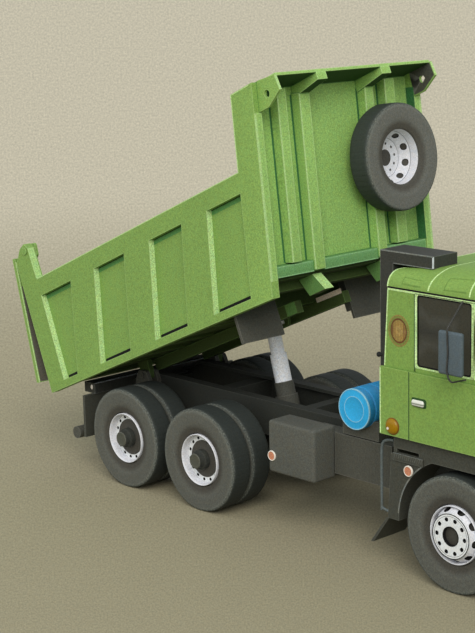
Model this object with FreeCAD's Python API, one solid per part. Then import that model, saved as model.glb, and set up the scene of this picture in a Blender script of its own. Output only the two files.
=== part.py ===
import FreeCAD
import Part
import math
import os

# A 1:32 card model of a three-axle rear tipper, in millimetres.
# Every piece is drawn in the truck frame: X forward with 0 at the front axle, Y to the truck's left, Z up from the ground.
# Bed pieces are drawn in the bed frame, X and Z from the tip hinge with the bed lying flat, and then tipped.
# At the end everything moves forward by origin_to_front_axle, so that the origin lies under the middle of the model.

# ---- driving dimensions -------------------------------------------------------------------------------------------
origin_to_front_axle = 84.0
card = 1.0                      # sheet thickness of panels
running = 0.05                  # radial clearance of a pin in its bore
seat_gap = 0.2                  # gap between pieces that move past each other

# wheels
front_to_mid_axle = 110.0
mid_to_rear_axle = 39.0
tyre_radius = 17.8
tyre_width = 8.0
twin_gap = 1.0                  # between the two tyres of a twin
bead_radius = 8.8
front_track = 74.8              # over the outer faces of the front tyres
spindle_radius = 2.0

# frame
rail_top = 35.4
rail_height = 12.0
rail_outer = 14.0               # half width over the webs
rail_flange = 4.0
rail_wall = 1.2
rail_behind_axle = 23.0         # frame behind the rear axle
rail_front = 33.0

# tip hinge and bed
hinge_behind_axle = 11.0
hinge_z = 35.5
eye_play = 1.9                  # hinge eye from the rail
eye_width = 2.0
fork_plate = 1.6
pin_stand = 0.4                 # pin end beyond the fork
tyre_play = 1.0                 # twin tyre from the pin's end
hinge_pin_radius = 1.0
tip_angle = 23.4                # raised, as parked
bed_width = 78.1
bed_wall = 3.2                  # side with its ribs
recess_depth = 2.2
side_bottom = 4.3               # underside of the bottom rail above the hinge
floor_bottom = 9.7
bottom_rail_top = 7.0
top_rail_bottom = 39.0
top_rail_top = 45.4
bed_rear = -30.0
bed_front = 98.1                # at the underside of the bottom rail
wing_top = 68.6
headboard_lean = 16.7           # degrees forward of square to the floor
post_lean = 20.3                # degrees, side posts
beam_bottom = 0.4
beam_top = 4.5
beam_inner = 10.0
beam_outer = 13.0

# tailgate, hung on pins at the tops of the rear posts
gate_pivot_x = -21.1
gate_pivot_z = 56.7
gate_open = 7.0
post_rear_lean = 1.86           # degrees, rear edge of the rear post
gate_back = 9.0                 # outer face behind the pivot
gate_depth = 1.5
gate_low = 48.7                 # bottom edge below the pivot
gate_high = 12.0                # top edge below the pivot
horn_high = 1.8                 # tops of the horns at the gate's ends, below the pivot
gate_pin_radius = 0.8

# tipping cylinder
cylinder_base_ahead = 59.5      # base pin from the tip hinge
cylinder_base_z = 15.0
cylinder_eye_x = 52.7           # in the bed frame
cylinder_eye_z = 2.0
cylinder_length = 19.6          # base pin to the top of the tube
stage_out = (4.8, 9.9)          # how far stages 1 and 2 stand out, bed raised
stage_radius = (3.95, 3.4, 2.95, 2.45)
stage_wall = (0.5, 0.4, 0.4)

# cab
cab_rear = -27.5
cab_front = 36.0
cab_bottom = 43.5
waist = 64.0
gutter = 88.0
cab_half = 38.5                 # half width below the waist
cab_upper_half = 37.5
cab_wall = 1.2
roof_rear_top = 92.0
roof_front_top = 96.0
door_rear = -16.2
door_front = 25.0
door_set_in = 1.6               # the door's rear edge steps forward above the waist
door_groove = 0.35
window_rear = -13.9
window_front = 6.1
window_low = 65.8
window_high = 87.0

mid_axle_x = -front_to_mid_axle
rear_axle_x = mid_axle_x - mid_to_rear_axle
trunnion_x = (mid_axle_x + rear_axle_x) / 2
rail_rear = rear_axle_x - rail_behind_axle
rail_bottom = rail_top - rail_height
hinge_x = rear_axle_x - hinge_behind_axle
cylinder_base_x = hinge_x + cylinder_base_ahead
twin_width = 2 * tyre_width + twin_gap
fork_lug_inner = rail_outer + eye_play
fork_lug_outer = fork_lug_inner + eye_width
fork_outer = fork_lug_outer + seat_gap + fork_plate
# over the outer faces of the twins, which clear the tip hinge
rear_track = 2 * (fork_outer + pin_stand + tyre_play + twin_width)
bed_half = bed_width / 2
vector = FreeCAD.Vector
across = vector(0, 1, 0)
parts = {}


# ---- shape helpers ------------------------------------------------------------------------------------------------
def box(x, y, z):
    """Block between three (low, high) pairs."""
    return Part.makeBox(x[1] - x[0], y[1] - y[0], z[1] - z[0], vector(x[0], y[0], z[0]))


def outline(corners):
    """Closed wire in the XY plane through (a, b) corners, or (a, b, radius) where a corner is rounded."""
    points = [vector(corner[0], corner[1], 0) for corner in corners]
    radii = [corner[2] if len(corner) > 2 else 0 for corner in corners]
    stretches = []
    for index, corner in enumerate(points):
        back = (points[index - 1] - corner).normalize()
        ahead = (points[(index + 1) % len(points)] - corner).normalize()
        half = back.getAngle(ahead) / 2
        reach = radii[index] / math.tan(half)
        middle = (back + ahead).normalize() * (radii[index] / math.sin(half) - radii[index]) if radii[index] else vector()
        stretches.append((corner + back * reach, corner + middle, corner + ahead * reach))
    edges = []
    for index, (start, middle, end) in enumerate(stretches):
        if radii[index]:
            edges.append(Part.Arc(start, middle, end).toShape())
        following = stretches[(index + 1) % len(stretches)][0]
        if end.distanceToPoint(following) > 1e-6:
            edges.append(Part.makeLine(end, following))
    return Part.Wire(edges)


def plate_y(corners, y_low, y_high):
    """(x, z) outline, extruded along Y."""
    face = Part.Face(outline(corners))
    face.rotate(vector(), vector(1, 0, 0), 90)
    face.translate(vector(0, y_low, 0))
    return face.extrude(vector(0, y_high - y_low, 0))


def plate_x(corners, x_low, x_high):
    """(y, z) outline, extruded along X."""
    face = Part.Face(outline(corners))
    face.rotate(vector(), vector(1, 1, 1), 120)
    face.translate(vector(x_low, 0, 0))
    return face.extrude(vector(x_high - x_low, 0, 0))


def plate_z(corners, z_low, z_high):
    """(x, y) outline, extruded along Z."""
    face = Part.Face(outline(corners))
    face.translate(vector(0, 0, z_low))
    return face.extrude(vector(0, 0, z_high - z_low))


def rod(radius, start, end):
    """Round bar from one (x, y, z) point to another."""
    low = vector(*start)
    run = vector(*end) - low
    return Part.makeCylinder(radius, run.Length, low, run)


def turned(corners, centre=(0, 0, 0)):
    """(radius, y) outline, turned about the Y line through centre."""
    shape = Part.Face(outline(corners)).revolve(vector(), across, 360)
    shape.translate(vector(*centre))
    return shape


def fused(pieces):
    """One solid from pieces that overlap or touch."""
    pieces = list(pieces)
    return pieces[0].multiFuse(pieces[1:]).removeSplitter() if len(pieces) > 1 else pieces[0]


def mirrored(shape):
    """The same piece on the other side of the truck."""
    return shape.mirror(vector(), across)


def both(shape):
    """A right-hand and a left-hand copy as two separate solids."""
    return Part.makeCompound([shape, mirrored(shape)])


def keep(node, shape):
    """Stores a piece of the truck under its node name."""
    parts[node] = shape


def keep_bed(node, shape):
    """Tips a piece of the bed about the hinge and stores it."""
    shape = shape.copy()
    shape.translate(vector(hinge_x, 0, hinge_z))
    shape.rotate(vector(hinge_x, 0, hinge_z), across, -tip_angle)
    parts[node] = shape


# ---- wheels -------------------------------------------------------------------------------------------------------
# Wheels are turned with Y = 0 at the outer face of the outer tyre and Y running inwards, for the left side.
shoulder = 1.7                  # bevel where the tread meets the sidewall
wheel_dish = 4.6                # end of a twin wheel's bore behind the outer face
rim_lip = 0.5
disc_radius = 6.5
disc_stand = 0.9                # front wheel disc proud of the tyre
hub_radius = 4.2
hub_stand = 1.4                 # hub cap of a twin wheel proud of the tyre


def tyre():
    """One tyre: flat tread, bevelled shoulders and flat sidewalls."""
    return turned([
        (bead_radius, 0.4), (bead_radius + 1.4, 0), (tyre_radius - shoulder, 0), (tyre_radius, shoulder * 0.7),
        (tyre_radius, tyre_width - shoulder * 0.7), (tyre_radius - shoulder, tyre_width), (bead_radius, tyre_width),
    ])


def front_rim(bore):
    """Front wheel: nut disc standing proud of the tyre, cone back to the barrel, and a hub behind the disc."""
    return turned([
        (bore, 1.2), (2.75, 1.2), (2.75, -disc_stand), (disc_radius, -disc_stand), (8.15, 1.8),
        (bead_radius - rim_lip, 0.3), (bead_radius, 0.3), (bead_radius, tyre_width - 0.6),
        (bead_radius - rim_lip, tyre_width - 0.6), (7.9, 3.2), (6.3, 0.8), (hub_radius, 0.8),
        (hub_radius, tyre_width), (bore, tyre_width),
    ])


def spare_wheel_rim():
    """The front wheel's pressing turned inside out, without a hub: its disc lies deep."""
    deep = tyre_width - 0.4
    return turned([
        (2.75, deep), (disc_radius, deep), (8.0, deep - 4.0), (bead_radius - rim_lip, 0.3), (bead_radius, 0.3),
        (bead_radius, tyre_width - 0.3), (8.4, tyre_width - 0.3), (8.4, deep - 3.0), (disc_radius + 0.5, deep + 0.6),
        (2.75, deep + 0.6),
    ])


def rear_rim(bore, width, hub_out):
    """Twin wheel: ring set back in a shallow dish, and a stepped hub that stands out of it."""
    return turned([
        (0, -hub_out), (2.6, -hub_out), (2.6, 0.4), (3.4, 0.4), (3.4, 1.9), (5.9, 1.9), (6.0, 2.7), (7.9, 2.7),
        (bead_radius - rim_lip, 0.3), (bead_radius, 0.3), (bead_radius, width - 0.6),
        (bead_radius - rim_lip, width - 0.6), (8.0, 4.4), (hub_radius, 4.0), (hub_radius, width), (bore, width),
        (bore, wheel_dish), (0, wheel_dish),
    ])


def place_wheel(shape, side, x, outer):
    """Puts a wheel piece on its axle, on the left (1) or right (-1) side."""
    shape = shape.copy()
    if side > 0:
        shape = mirrored(shape)
    shape.translate(vector(x, side * outer, tyre_radius))
    return shape


spindle_bore = spindle_radius + running
second_tyre = tyre()
second_tyre.translate(vector(0, tyre_width + twin_gap, 0))
twin_tyres = Part.makeCompound([tyre(), second_tyre])

# axle name, x, half track, twin
axles = (
    ("front", 0.0, front_track / 2, False),
    ("mid", mid_axle_x, rear_track / 2, True),
    ("rear", rear_axle_x, rear_track / 2, True),
)
for axle, x, outer, twin in axles:
    for name, side in (("left", 1), ("right", -1)):
        tyres = twin_tyres if twin else tyre()
        rim = rear_rim(spindle_bore, twin_width, hub_stand) if twin else front_rim(spindle_bore)
        keep(f"{axle}_{name}_tyre" + ("s" if twin else ""), place_wheel(tyres, side, x, outer))
        keep(f"{axle}_{name}_rim", place_wheel(rim, side, x, outer))


# ---- frame and running gear ---------------------------------------------------------------------------------------
def rail():
    """Right-hand channel rail, open inwards, its rear end sloped to clear the tipping bed."""
    corners = [
        (rail_rear, rail_bottom + 2), (rail_rear + 3, rail_bottom), (rail_front, rail_bottom),
        (rail_front, rail_top), (hinge_x - 2.5, rail_top), (rail_rear, rail_top - 4.5),
    ]
    body = plate_y(corners, -rail_outer, -rail_outer + rail_flange)
    hollow = [
        (rail_rear - 1, rail_bottom + rail_wall), (rail_front + 1, rail_bottom + rail_wall),
        (rail_front + 1, rail_top - rail_wall), (hinge_x - 2.5, rail_top - rail_wall),
        (rail_rear - 1, rail_top - rail_wall - 5.0),
    ]
    return body.cut(plate_y(hollow, -rail_outer + rail_wall, -rail_outer + rail_flange + 1))


inner_web = rail_outer - rail_wall
rails = [rail(), mirrored(rail())]
cross_members = []
for x, width in (
    (rail_rear + 1.5, 3.0), (trunnion_x, 6.0), (mid_axle_x + 21.0, 4.0), (-50.0, 4.0), (-20.0, 4.0), (rail_front - 2.0, 4.0),
):
    low = rail_bottom + (2.0 if x < hinge_x else rail_wall)
    high = rail_top - (6.5 if x < hinge_x else rail_wall + 0.6)
    cross_members.append(box((x - width / 2, x + width / 2), (-inner_web, inner_web), (low, high)))
# cheeks that carry the cylinder's base pin, hung from a cross member below the rails
cheek_inner = stage_radius[0] + 0.6
cheek = plate_y([
    (cylinder_base_x - 3.2, rail_bottom + 3.0), (cylinder_base_x - 3.2, cylinder_base_z, 1.5),
    (cylinder_base_x - 1.5, cylinder_base_z - 3.2, 1.5), (cylinder_base_x + 1.5, cylinder_base_z - 3.2, 1.5),
    (cylinder_base_x + 3.2, cylinder_base_z, 1.5), (cylinder_base_x + 3.2, rail_bottom + 3.0),
], -cheek_inner - card, -cheek_inner)
shelf = box((cylinder_base_x - 3.2, cylinder_base_x + 3.2), (-inner_web, -cheek_inner),
            (rail_bottom + rail_wall, rail_bottom + 3.0))
cylinder_pin = rod(hinge_pin_radius, (cylinder_base_x, -cheek_inner - card, cylinder_base_z),
                   (cylinder_base_x, cheek_inner + card, cylinder_base_z))
cylinder_seat = [cheek, mirrored(cheek), shelf, mirrored(shelf), cylinder_pin]
keep("chassis_frame", fused(rails + cross_members + cylinder_seat))

# tip hinge: forks outside the rails with a pin across each
fork_low = hinge_z - 2.6
fork = [
    plate_y([
        (hinge_x - 3.6, fork_low - 4.0), (hinge_x + 3.6, fork_low - 4.0), (hinge_x + 3.6, fork_low + 1.0),
        (hinge_x + 1.9, hinge_z + 1.7, 1.2), (hinge_x - 1.9, hinge_z + 1.7, 1.2), (hinge_x - 3.6, fork_low + 1.0),
    ], y, y + fork_plate)
    for y in (-fork_outer, -rail_outer - fork_plate)
]
fork_base = box((hinge_x - 3.6, hinge_x + 3.6), (-fork_outer, -rail_outer), (fork_low - 4.0, fork_low))
fork_pin = rod(hinge_pin_radius, (hinge_x, -fork_outer - pin_stand, hinge_z), (hinge_x, -rail_outer, hinge_z))
keep("tip_hinge_brackets", both(fused(fork + [fork_base, fork_pin])))


def leaf_pack(x, z, leaves, reach, sag, y):
    """Stacked leaves, the longest with its hollow side at (x, z), ends curved up (sag 1) or down (sag -1)."""
    pack = []
    for index in range(leaves):
        radius = leaf_curve + index * leaf_thickness
        centre = vector(x, y, z + sag * leaf_curve)
        ring = Part.makeCylinder(radius + leaf_thickness, leaf_width, centre, across)
        ring = ring.cut(Part.makeCylinder(radius, leaf_width, centre, across))
        half = reach * (1 - 0.3 * index)
        pack.append(ring.common(box((x - half, x + half), (y, y + leaf_width), (z - 6, z + 6))))
    return pack


def leaf_drop(distance):
    """How far the long leaf has curved away at a distance from its middle."""
    return leaf_curve - math.sqrt(leaf_curve ** 2 - distance ** 2)


# axles: beam or banjo case, knuckles at the front, spindles for the wheels
axle_z = tyre_radius
front_inner = front_track / 2 - tyre_width
rear_inner = rear_track / 2 - twin_width
beam_half = 1.6                 # front axle beam, half height
tube_radius = 2.2               # rear axle tubes
case_radius = 3.2               # differential case, beside the tipping cylinder
leaf_thickness = 0.7
leaf_width = 3.4
leaf_curve = 180.0
spring_reach = 20.0
spring_y = -rail_outer + 0.3


def spindle(x, wheel_face, reach):
    """Right-hand stub through the wheel's bore, with the drum beside the wheel."""
    inner = -wheel_face + seat_gap
    drum = [(0, inner), (3.4, inner), (3.4, inner + 1.6), (2.2, inner + 2.6), (0, inner + 2.6)]
    return [rod(spindle_radius, (x, -reach, axle_z), (x, inner + 1.0, axle_z)), turned(drum, (x, 0, axle_z))]


pin_y = -front_inner + 2.4
kingpin = rod(1.5, (0, pin_y, axle_z - 3.6), (0, pin_y, axle_z + 3.6))
knuckle = box((-2.0, 2.0), (pin_y - 1.2, pin_y + 1.2), (axle_z - 2.2, axle_z + 2.2))
front_beam = plate_x([
    (pin_y, axle_z + beam_half), (pin_y, axle_z - beam_half), (-16.0, axle_z - beam_half, 2),
    (-9.0, axle_z - 3.4, 2), (9.0, axle_z - 3.4, 2), (16.0, axle_z - beam_half, 2),
    (-pin_y, axle_z - beam_half), (-pin_y, axle_z + beam_half),
], -1.5, 1.5)
front_right = spindle(0, front_inner, front_track / 2 - 0.8) + [kingpin, knuckle]
keep("front_axle", fused([front_beam] + front_right + [mirrored(piece) for piece in front_right]))

for name, x in (("mid_axle", mid_axle_x), ("rear_axle", rear_axle_x)):
    tube = rod(tube_radius, (x, -rear_inner + 1, axle_z), (x, rear_inner - 1, axle_z))
    case = turned([(0, -5.0), (2.4, -4.6), (case_radius, -2.4), (case_radius, 2.4), (2.4, 4.6), (0, 5.0)], (x, 0, axle_z))
    stub = spindle(x, rear_inner, rear_track / 2 - wheel_dish - 0.3)
    keep(name, fused([tube, case] + stub + [mirrored(piece) for piece in stub]))

spring_top = axle_z + beam_half + 2 * leaf_thickness
hangers = []
for x in (-spring_reach + 1.0, spring_reach - 1.0):
    low = spring_top + leaf_drop(spring_reach - 1.0) - 0.3
    hangers.append(box((x - 1.0, x + 1.0), (spring_y + 0.4, spring_y + leaf_width - 0.4), (low, rail_bottom)))
keep("front_springs", both(fused(leaf_pack(0, spring_top, 2, spring_reach, 1, spring_y) + hangers)))

half_spread = mid_to_rear_axle / 2
pack_low = axle_z + tube_radius + leaf_drop(half_spread) + 0.05
trunnion = plate_y([
    (trunnion_x - 5.5, rail_bottom), (trunnion_x - 3.0, pack_low - 3.0, 1.5), (trunnion_x + 3.0, pack_low - 3.0, 1.5),
    (trunnion_x + 5.5, rail_bottom),
], spring_y, spring_y + leaf_width)
rear_pack = leaf_pack(trunnion_x, pack_low, 2, half_spread + 1.5, -1, spring_y)
keep("rear_springs", both(fused(rear_pack + [trunnion])))


# ---- boxes and tanks along the frame ------------------------------------------------------------------------------
battery_x = (-77.0, -56.5)
battery_z = (20.8, 38.0)
battery_arm = box((battery_x[0] + 3.0, battery_x[1] - 3.0), (-27.0, -rail_outer), (battery_z[0] + 5, battery_z[1] - 5))
keep("battery_box", fused([box(battery_x, (-37.0, -27.0), battery_z), battery_arm]))
keep("tool_box", box((-56.0, -32.0), (-28.0, -rail_outer), (22.5, 36.0)))

fuel_x = (-80.0, -42.0)
fuel_inner = rail_outer + 3.0
fuel_pieces = [plate_x([(fuel_inner, 18.5, 4.0), (36.5, 18.5, 4.0), (36.5, 36.5, 4.0), (fuel_inner, 36.5, 4.0)], *fuel_x)]
for strap_x in (fuel_x[0] + 8.0, fuel_x[1] - 8.0):
    fuel_pieces.append(box((strap_x - 1.5, strap_x + 1.5), (rail_outer, fuel_inner + 2.0), (24.5, 33.5)))
keep("fuel_tank", fused(fuel_pieces))

# hydraulic tank across the frame behind the cab, on two saddles
tank_x = -45.0
tank_z = 46.0
tank_radius = 6.5
tank_right = -31.0
tank_left = 11.0
keep("hydraulic_tank", rod(tank_radius, (tank_x, tank_right, tank_z), (tank_x, tank_left, tank_z)))


def saddle(y_low, y_high, foot):
    """Plate across the underside of the tank, down to a foot height above the rails."""
    return plate_y([
        (tank_x - 7.5, rail_top + foot), (tank_x + 7.5, rail_top + foot), (tank_x + 7.5, tank_z - 3.5),
        (tank_x - 7.5, tank_z - 3.5),
    ], y_low, y_high)


saddles = [saddle(-rail_outer, -rail_outer + 3, 0), saddle(rail_outer - 7, rail_outer - 4, 0), saddle(-28.0, -25.0, 2.0)]
bearer = box((tank_x - 7.5, tank_x + 7.5), (-28.0, 12.0), (rail_top + 1.0, rail_top + 2.2))
cradle = rod(tank_radius + running, (tank_x, tank_right - 1, tank_z), (tank_x, tank_left + 5, tank_z))
keep("tank_saddle", fused(saddles + [bearer]).cut(cradle))


# ---- rear end of the frame ----------------------------------------------------------------------------------------
# open-topped channel across the rail ends that carries the lamps
bar_x = (rail_rear - 6.0, rail_rear)
bar_z = (28.9, 32.6)
bar_half = 32.4
channel = plate_y([
    (bar_x[0], bar_z[0]), (bar_x[1], bar_z[0]), (bar_x[1], bar_z[1]), (bar_x[1] - card, bar_z[1]),
    (bar_x[1] - card, bar_z[0] + card), (bar_x[0] + card, bar_z[0] + card), (bar_x[0] + card, bar_z[1]),
    (bar_x[0], bar_z[1]),
], -bar_half, bar_half)
bar_end = box(bar_x, (-bar_half, -bar_half + card), bar_z)
keep("rear_lamp_bar", fused([channel, bar_end, mirrored(bar_end)]))
tail_lamp = box((bar_x[0] - 1.2, bar_x[0]), (-bar_half + 1.0, -bar_half + 12.0), (bar_z[0] + 0.5, bar_z[1] - 0.4))
keep("rear_lamps", both(tail_lamp))
flap_x = bar_x[1] - 0.7
rear_flap = box((flap_x - card, flap_x), (-36.8, -21.0), (13.3, bar_z[0]))

guard_z = 13.8
guard_x = rail_rear - 7.0
guard_radius = 2.2
guard_half = 36.2
guard_tube = rod(guard_radius, (guard_x, -guard_half, guard_z), (guard_x, guard_half, guard_z))
drop = plate_y([
    (rail_rear, rail_bottom + 3.0), (rail_rear + 6.0, rail_bottom), (rail_rear + 4.0, rail_bottom),
    (guard_x + 1.0, guard_z), (guard_x - 1.0, guard_z), (rail_rear, rail_bottom + 1.0),
], -rail_outer - 1.2, -rail_outer)
keep("underrun_bar", fused([guard_tube, drop, mirrored(drop)]))

# tow jaw, long enough that its pin passes behind the underrun bar
jaw_x = rail_rear - 1.4
jaw_z = 24.0
jaw_hole = 0.9
jaw_pin_x = guard_x - guard_radius - jaw_hole - 1.0
jaw_end = jaw_pin_x - 1.9
jaw = plate_y([
    (jaw_end, jaw_z + 2.6, 0.8), (jaw_x, jaw_z + 2.6), (jaw_x, jaw_z - 2.6), (jaw_end, jaw_z - 2.6, 0.8),
    (jaw_end, jaw_z - 1.2), (jaw_x - 2.0, jaw_z - 1.2), (jaw_x - 2.0, jaw_z + 1.2), (jaw_end, jaw_z + 1.2),
], -2.4, 2.4)
jaw = jaw.cut(rod(jaw_hole, (jaw_pin_x, 0, jaw_z - 4), (jaw_pin_x, 0, jaw_z + 4)))
plate = box((jaw_x, rail_rear), (-inner_web, inner_web), (rail_bottom + 2.0, bar_z[0]))
keep("tow_jaw", fused([jaw, plate]))


# ---- cab ----------------------------------------------------------------------------------------------------------
quarter_front = 20.5
nose_radius = 6.0               # upright corners at the front of the cab
nose_joint = cab_front - 6.0    # seam between the side panels and the front wall
screen_lean = 7.0               # degrees the wall about the screen leans back
screen_run = math.tan(math.radians(screen_lean))


def cab_side():
    """Right side: lower panel, upper panel set in at the waist, window openings."""
    lower = plate_y([
        (cab_rear, cab_bottom), (nose_joint, cab_bottom), (nose_joint, waist), (cab_rear, waist),
    ], -cab_half, -cab_half + cab_wall)
    overlap = 1.5
    seam = nose_joint - 0.05
    upper = plate_y([
        (cab_rear + 0.9, waist - overlap), (seam, waist - overlap), (seam, waist),
        (seam - (gutter - waist) * screen_run, gutter), (cab_rear + 2.3, gutter),
    ], -cab_upper_half, -cab_upper_half + cab_wall)
    main = plate_y([
        (window_rear, window_low, 1.0), (window_front, window_low, 1.0), (window_front, window_high, 1.0),
        (window_rear, window_high, 1.0),
    ], -cab_half - 1, -cab_half + 4)
    quarter = plate_y([
        (window_front + 1.4, window_low, 0.8), (quarter_front, window_low, 1.2), (quarter_front - 3.0, window_high, 1.2),
        (window_front + 1.4, window_high, 0.8),
    ], -cab_half - 1, -cab_half + 4)
    grooves = []
    groove_top = gutter - 0.8
    for x, upper_x in ((door_rear, door_rear + door_set_in), (door_front, door_front)):
        grooves.append(box((x - door_groove / 2, x + door_groove / 2), (-cab_half - 1, -cab_half + door_groove),
                           (cab_bottom - 1, waist)))
        grooves.append(box((upper_x - door_groove / 2, upper_x + door_groove / 2),
                           (-cab_upper_half - 1, -cab_upper_half + door_groove), (waist, groove_top)))
    grooves.append(box((door_rear + door_set_in, door_front), (-cab_half, -cab_upper_half + door_groove),
                       (groove_top - door_groove, groove_top)))
    return fused([lower, upper]).cut([main, quarter] + grooves)


cab_panel = cab_side()
keep("cab_side_right", cab_panel)
keep("cab_side_left", mirrored(cab_panel))


def nose(front, half, wall, z_low, z_high, lean=0.0):
    """Front wall with rounded upright corners from the seam forward, leaning back by so many degrees."""
    corner = min(nose_radius, front - nose_joint - 0.5)
    spare_height = 2.0
    height = z_high - z_low + 2 * spare_height
    outer = plate_z([
        (nose_joint - 1.0, -half), (front, -half, corner), (front, half, corner), (nose_joint - 1.0, half),
    ], z_low - spare_height, z_low - spare_height + height)
    inner = plate_z([
        (nose_joint - 2.0, -half + wall), (front - wall, -half + wall, corner - wall),
        (front - wall, half - wall, corner - wall), (nose_joint - 2.0, half - wall),
    ], z_low - spare_height, z_low - spare_height + height)
    shell = outer.cut(inner)
    behind_seam = box((nose_joint - 5, nose_joint), (-half - 1, half + 1), (z_low - 9, z_high + 9))
    shell = shell.cut(behind_seam)
    shell.rotate(vector(nose_joint, 0, z_low), across, -lean)
    return shell.common(box((nose_joint - 9, front + 5), (-half - 1, half + 1), (z_low, z_high)))


screen_low = cab_front - 1.0
opening = plate_x([
    (-cab_upper_half + 5.0, window_low + 0.6, 1.5), (cab_upper_half - 5.0, window_low + 0.6, 1.5),
    (cab_upper_half - 5.0, window_high - 0.4, 1.5), (-cab_upper_half + 5.0, window_high - 0.4, 1.5),
], cab_front - 12.0, cab_front + 5.0)
ledge_depth = 1.0
lower_front = nose(cab_front, cab_half, cab_wall, cab_bottom, waist - ledge_depth)
ledge = nose(cab_front, cab_half, cab_wall + 2.0, waist - ledge_depth, waist)
upper_front = nose(screen_low, cab_upper_half, cab_wall, waist, gutter, screen_lean).cut(opening)
keep("cab_front", fused([lower_front, ledge, upper_front]))

rear_wall = plate_y([
    (cab_rear, cab_bottom), (cab_rear + cab_wall, cab_bottom), (cab_rear + cab_wall, waist), (cab_rear + 0.9 + cab_wall, waist),
    (cab_rear + 2.3 + cab_wall, gutter), (cab_rear + 2.3, gutter), (cab_rear + 0.9, waist), (cab_rear, waist),
], -cab_upper_half + cab_wall, cab_upper_half - cab_wall)
keep("cab_rear_wall", rear_wall)
floor_plate = box((cab_rear + cab_wall, cab_front - 1.0 - nose_radius), (-cab_half + cab_wall, cab_half - cab_wall),
                  (cab_bottom, cab_bottom + cab_wall))
bearers = []
for x in (-18.0, 20.0):
    bearers.append(box((x - 2.5, x + 2.5), (-rail_outer, rail_outer), (rail_top, cab_bottom)))
keep("cab_floor", fused([floor_plate] + bearers))


roof_radius = 4.5                # long edges
roof_slope = math.degrees(math.atan2(roof_front_top - roof_rear_top, cab_front - 16.0 - cab_rear))


def roof_block(inset):
    """Roof form rising forward, its long edges and its rear and front edges rounded; inset makes the inner form."""
    rear = cab_rear + 2.3 + inset
    front = cab_front - 4.2 - inset
    half = cab_upper_half - inset
    side_view = plate_y([
        (rear, gutter), (front, gutter), (front - 0.6, roof_front_top - 3.0 - inset, 5.0 - inset),
        (front - 12.0, roof_front_top - inset, 20.0), (rear + 0.6, roof_rear_top - inset, 3.2 - inset),
    ], -half, half)
    front_view = plate_x([
        (-half, gutter - 20), (half, gutter - 20), (half, roof_rear_top - inset, roof_radius - inset),
        (-half, roof_rear_top - inset, roof_radius - inset),
    ], rear - 10, front + 10)
    front_view.rotate(vector(rear, 0, roof_rear_top - inset), across, -roof_slope)
    return side_view.common(front_view)


keep("cab_roof", roof_block(0).cut(roof_block(cab_wall)))

pane = 0.6
side_pane = plate_y([
    (window_rear - 1.2, window_low - 1.0), (quarter_front + 1.5, window_low - 1.0), (quarter_front - 1.5, window_high + 0.7),
    (window_rear - 1.2, window_high + 0.7),
], -cab_upper_half + cab_wall, -cab_upper_half + cab_wall + pane)
front_pane = box((screen_low - cab_wall - pane, screen_low - cab_wall - 0.02), (-cab_upper_half + 4.6, cab_upper_half - 4.6),
                 (window_low - 0.4, window_high + 0.4))
front_pane.rotate(vector(nose_joint, 0, waist), across, -screen_lean)
keep("cab_windows", Part.makeCompound([side_pane, mirrored(side_pane), front_pane]))

# air intake stack behind the cab's right rear corner, its head lying over the roof
duct = box((-34.5, -29.4), (-30.3, -22.0), (61.0, 93.3))
head = box((-34.5, -14.0), (-30.3, -19.4), (93.3, 97.0))
stay = box((-29.4, cab_rear), (-28.0, -24.0), (62.0, 63.2))
keep("air_intake", fused([duct, head, stay]))

# sill under the cab with the arch of the front mudguard
arch_radius = 21.6
sill_low = 37.5
sill_rear = -23.6
sill_outer = 36.7               # half width over the sills


def mudguard():
    """Right mudguard: sill strip with a step let into it, arch band over the wheel and the panels beside it."""
    strip = box((sill_rear, cab_front - 4.0), (-sill_outer, -sill_outer + card), (sill_low, cab_bottom))
    rear_panel = plate_y([
        (-26.0, 17.0), (-20.0, 17.0), (-8.0, sill_low), (-24.6, sill_low),
    ], -sill_outer, -sill_outer + card)
    front_panel = plate_y([
        (26.0, 24.0), (20.0, 24.0), (8.0, sill_low), (26.0, sill_low),
    ], -sill_outer, -sill_outer + card)
    wheel = rod(arch_radius, (0, -50, axle_z), (0, 50, axle_z))
    band = rod(arch_radius + card, (0, -sill_outer, axle_z), (0, -24.0, axle_z))
    band = band.common(box((-30, 30), (-sill_outer, -24.0), (17.0, cab_bottom)))
    arch = fused([rear_panel, front_panel, band]).cut(wheel)
    slot_x = (sill_rear + 1.2, -13.8)
    slot = box(slot_x, (-sill_outer - 1, -sill_outer + 2 * card), (sill_low + 0.6, sill_low + 1.9))
    tread = box((sill_rear, -12.0), (-sill_outer - 0.5, -sill_outer), (sill_low - 1.8, sill_low + 0.4))
    return fused([arch, strip.cut(slot), tread])


keep("front_mudguards", both(mudguard()))
front_flap = plate_y([(-26.6, 16.9), (-25.6, 16.9), (-31.9, 8.0), (-33.0, 7.9)], -sill_outer, -22.0)
keep("mud_flaps", Part.makeCompound([both(front_flap), both(rear_flap)]))
rail_tube = 0.5
rail_x = -29.2
hand_rail = fused([
    rod(rail_tube, (rail_x, -35.8, 19.0), (rail_x, -35.8, 38.6)),
    rod(rail_tube, (rail_x, -35.8, 38.6), (rail_x + 2.0, -35.8, 40.8)),
    rod(rail_tube, (rail_x + 2.0, -35.8, 40.8), (sill_rear, -35.8, 41.2)),
    rod(rail_tube, (rail_x, -35.8, 19.0), (-26.0, -36.2, 19.0)),
])
keep("cab_steps", both(hand_rail))

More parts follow.
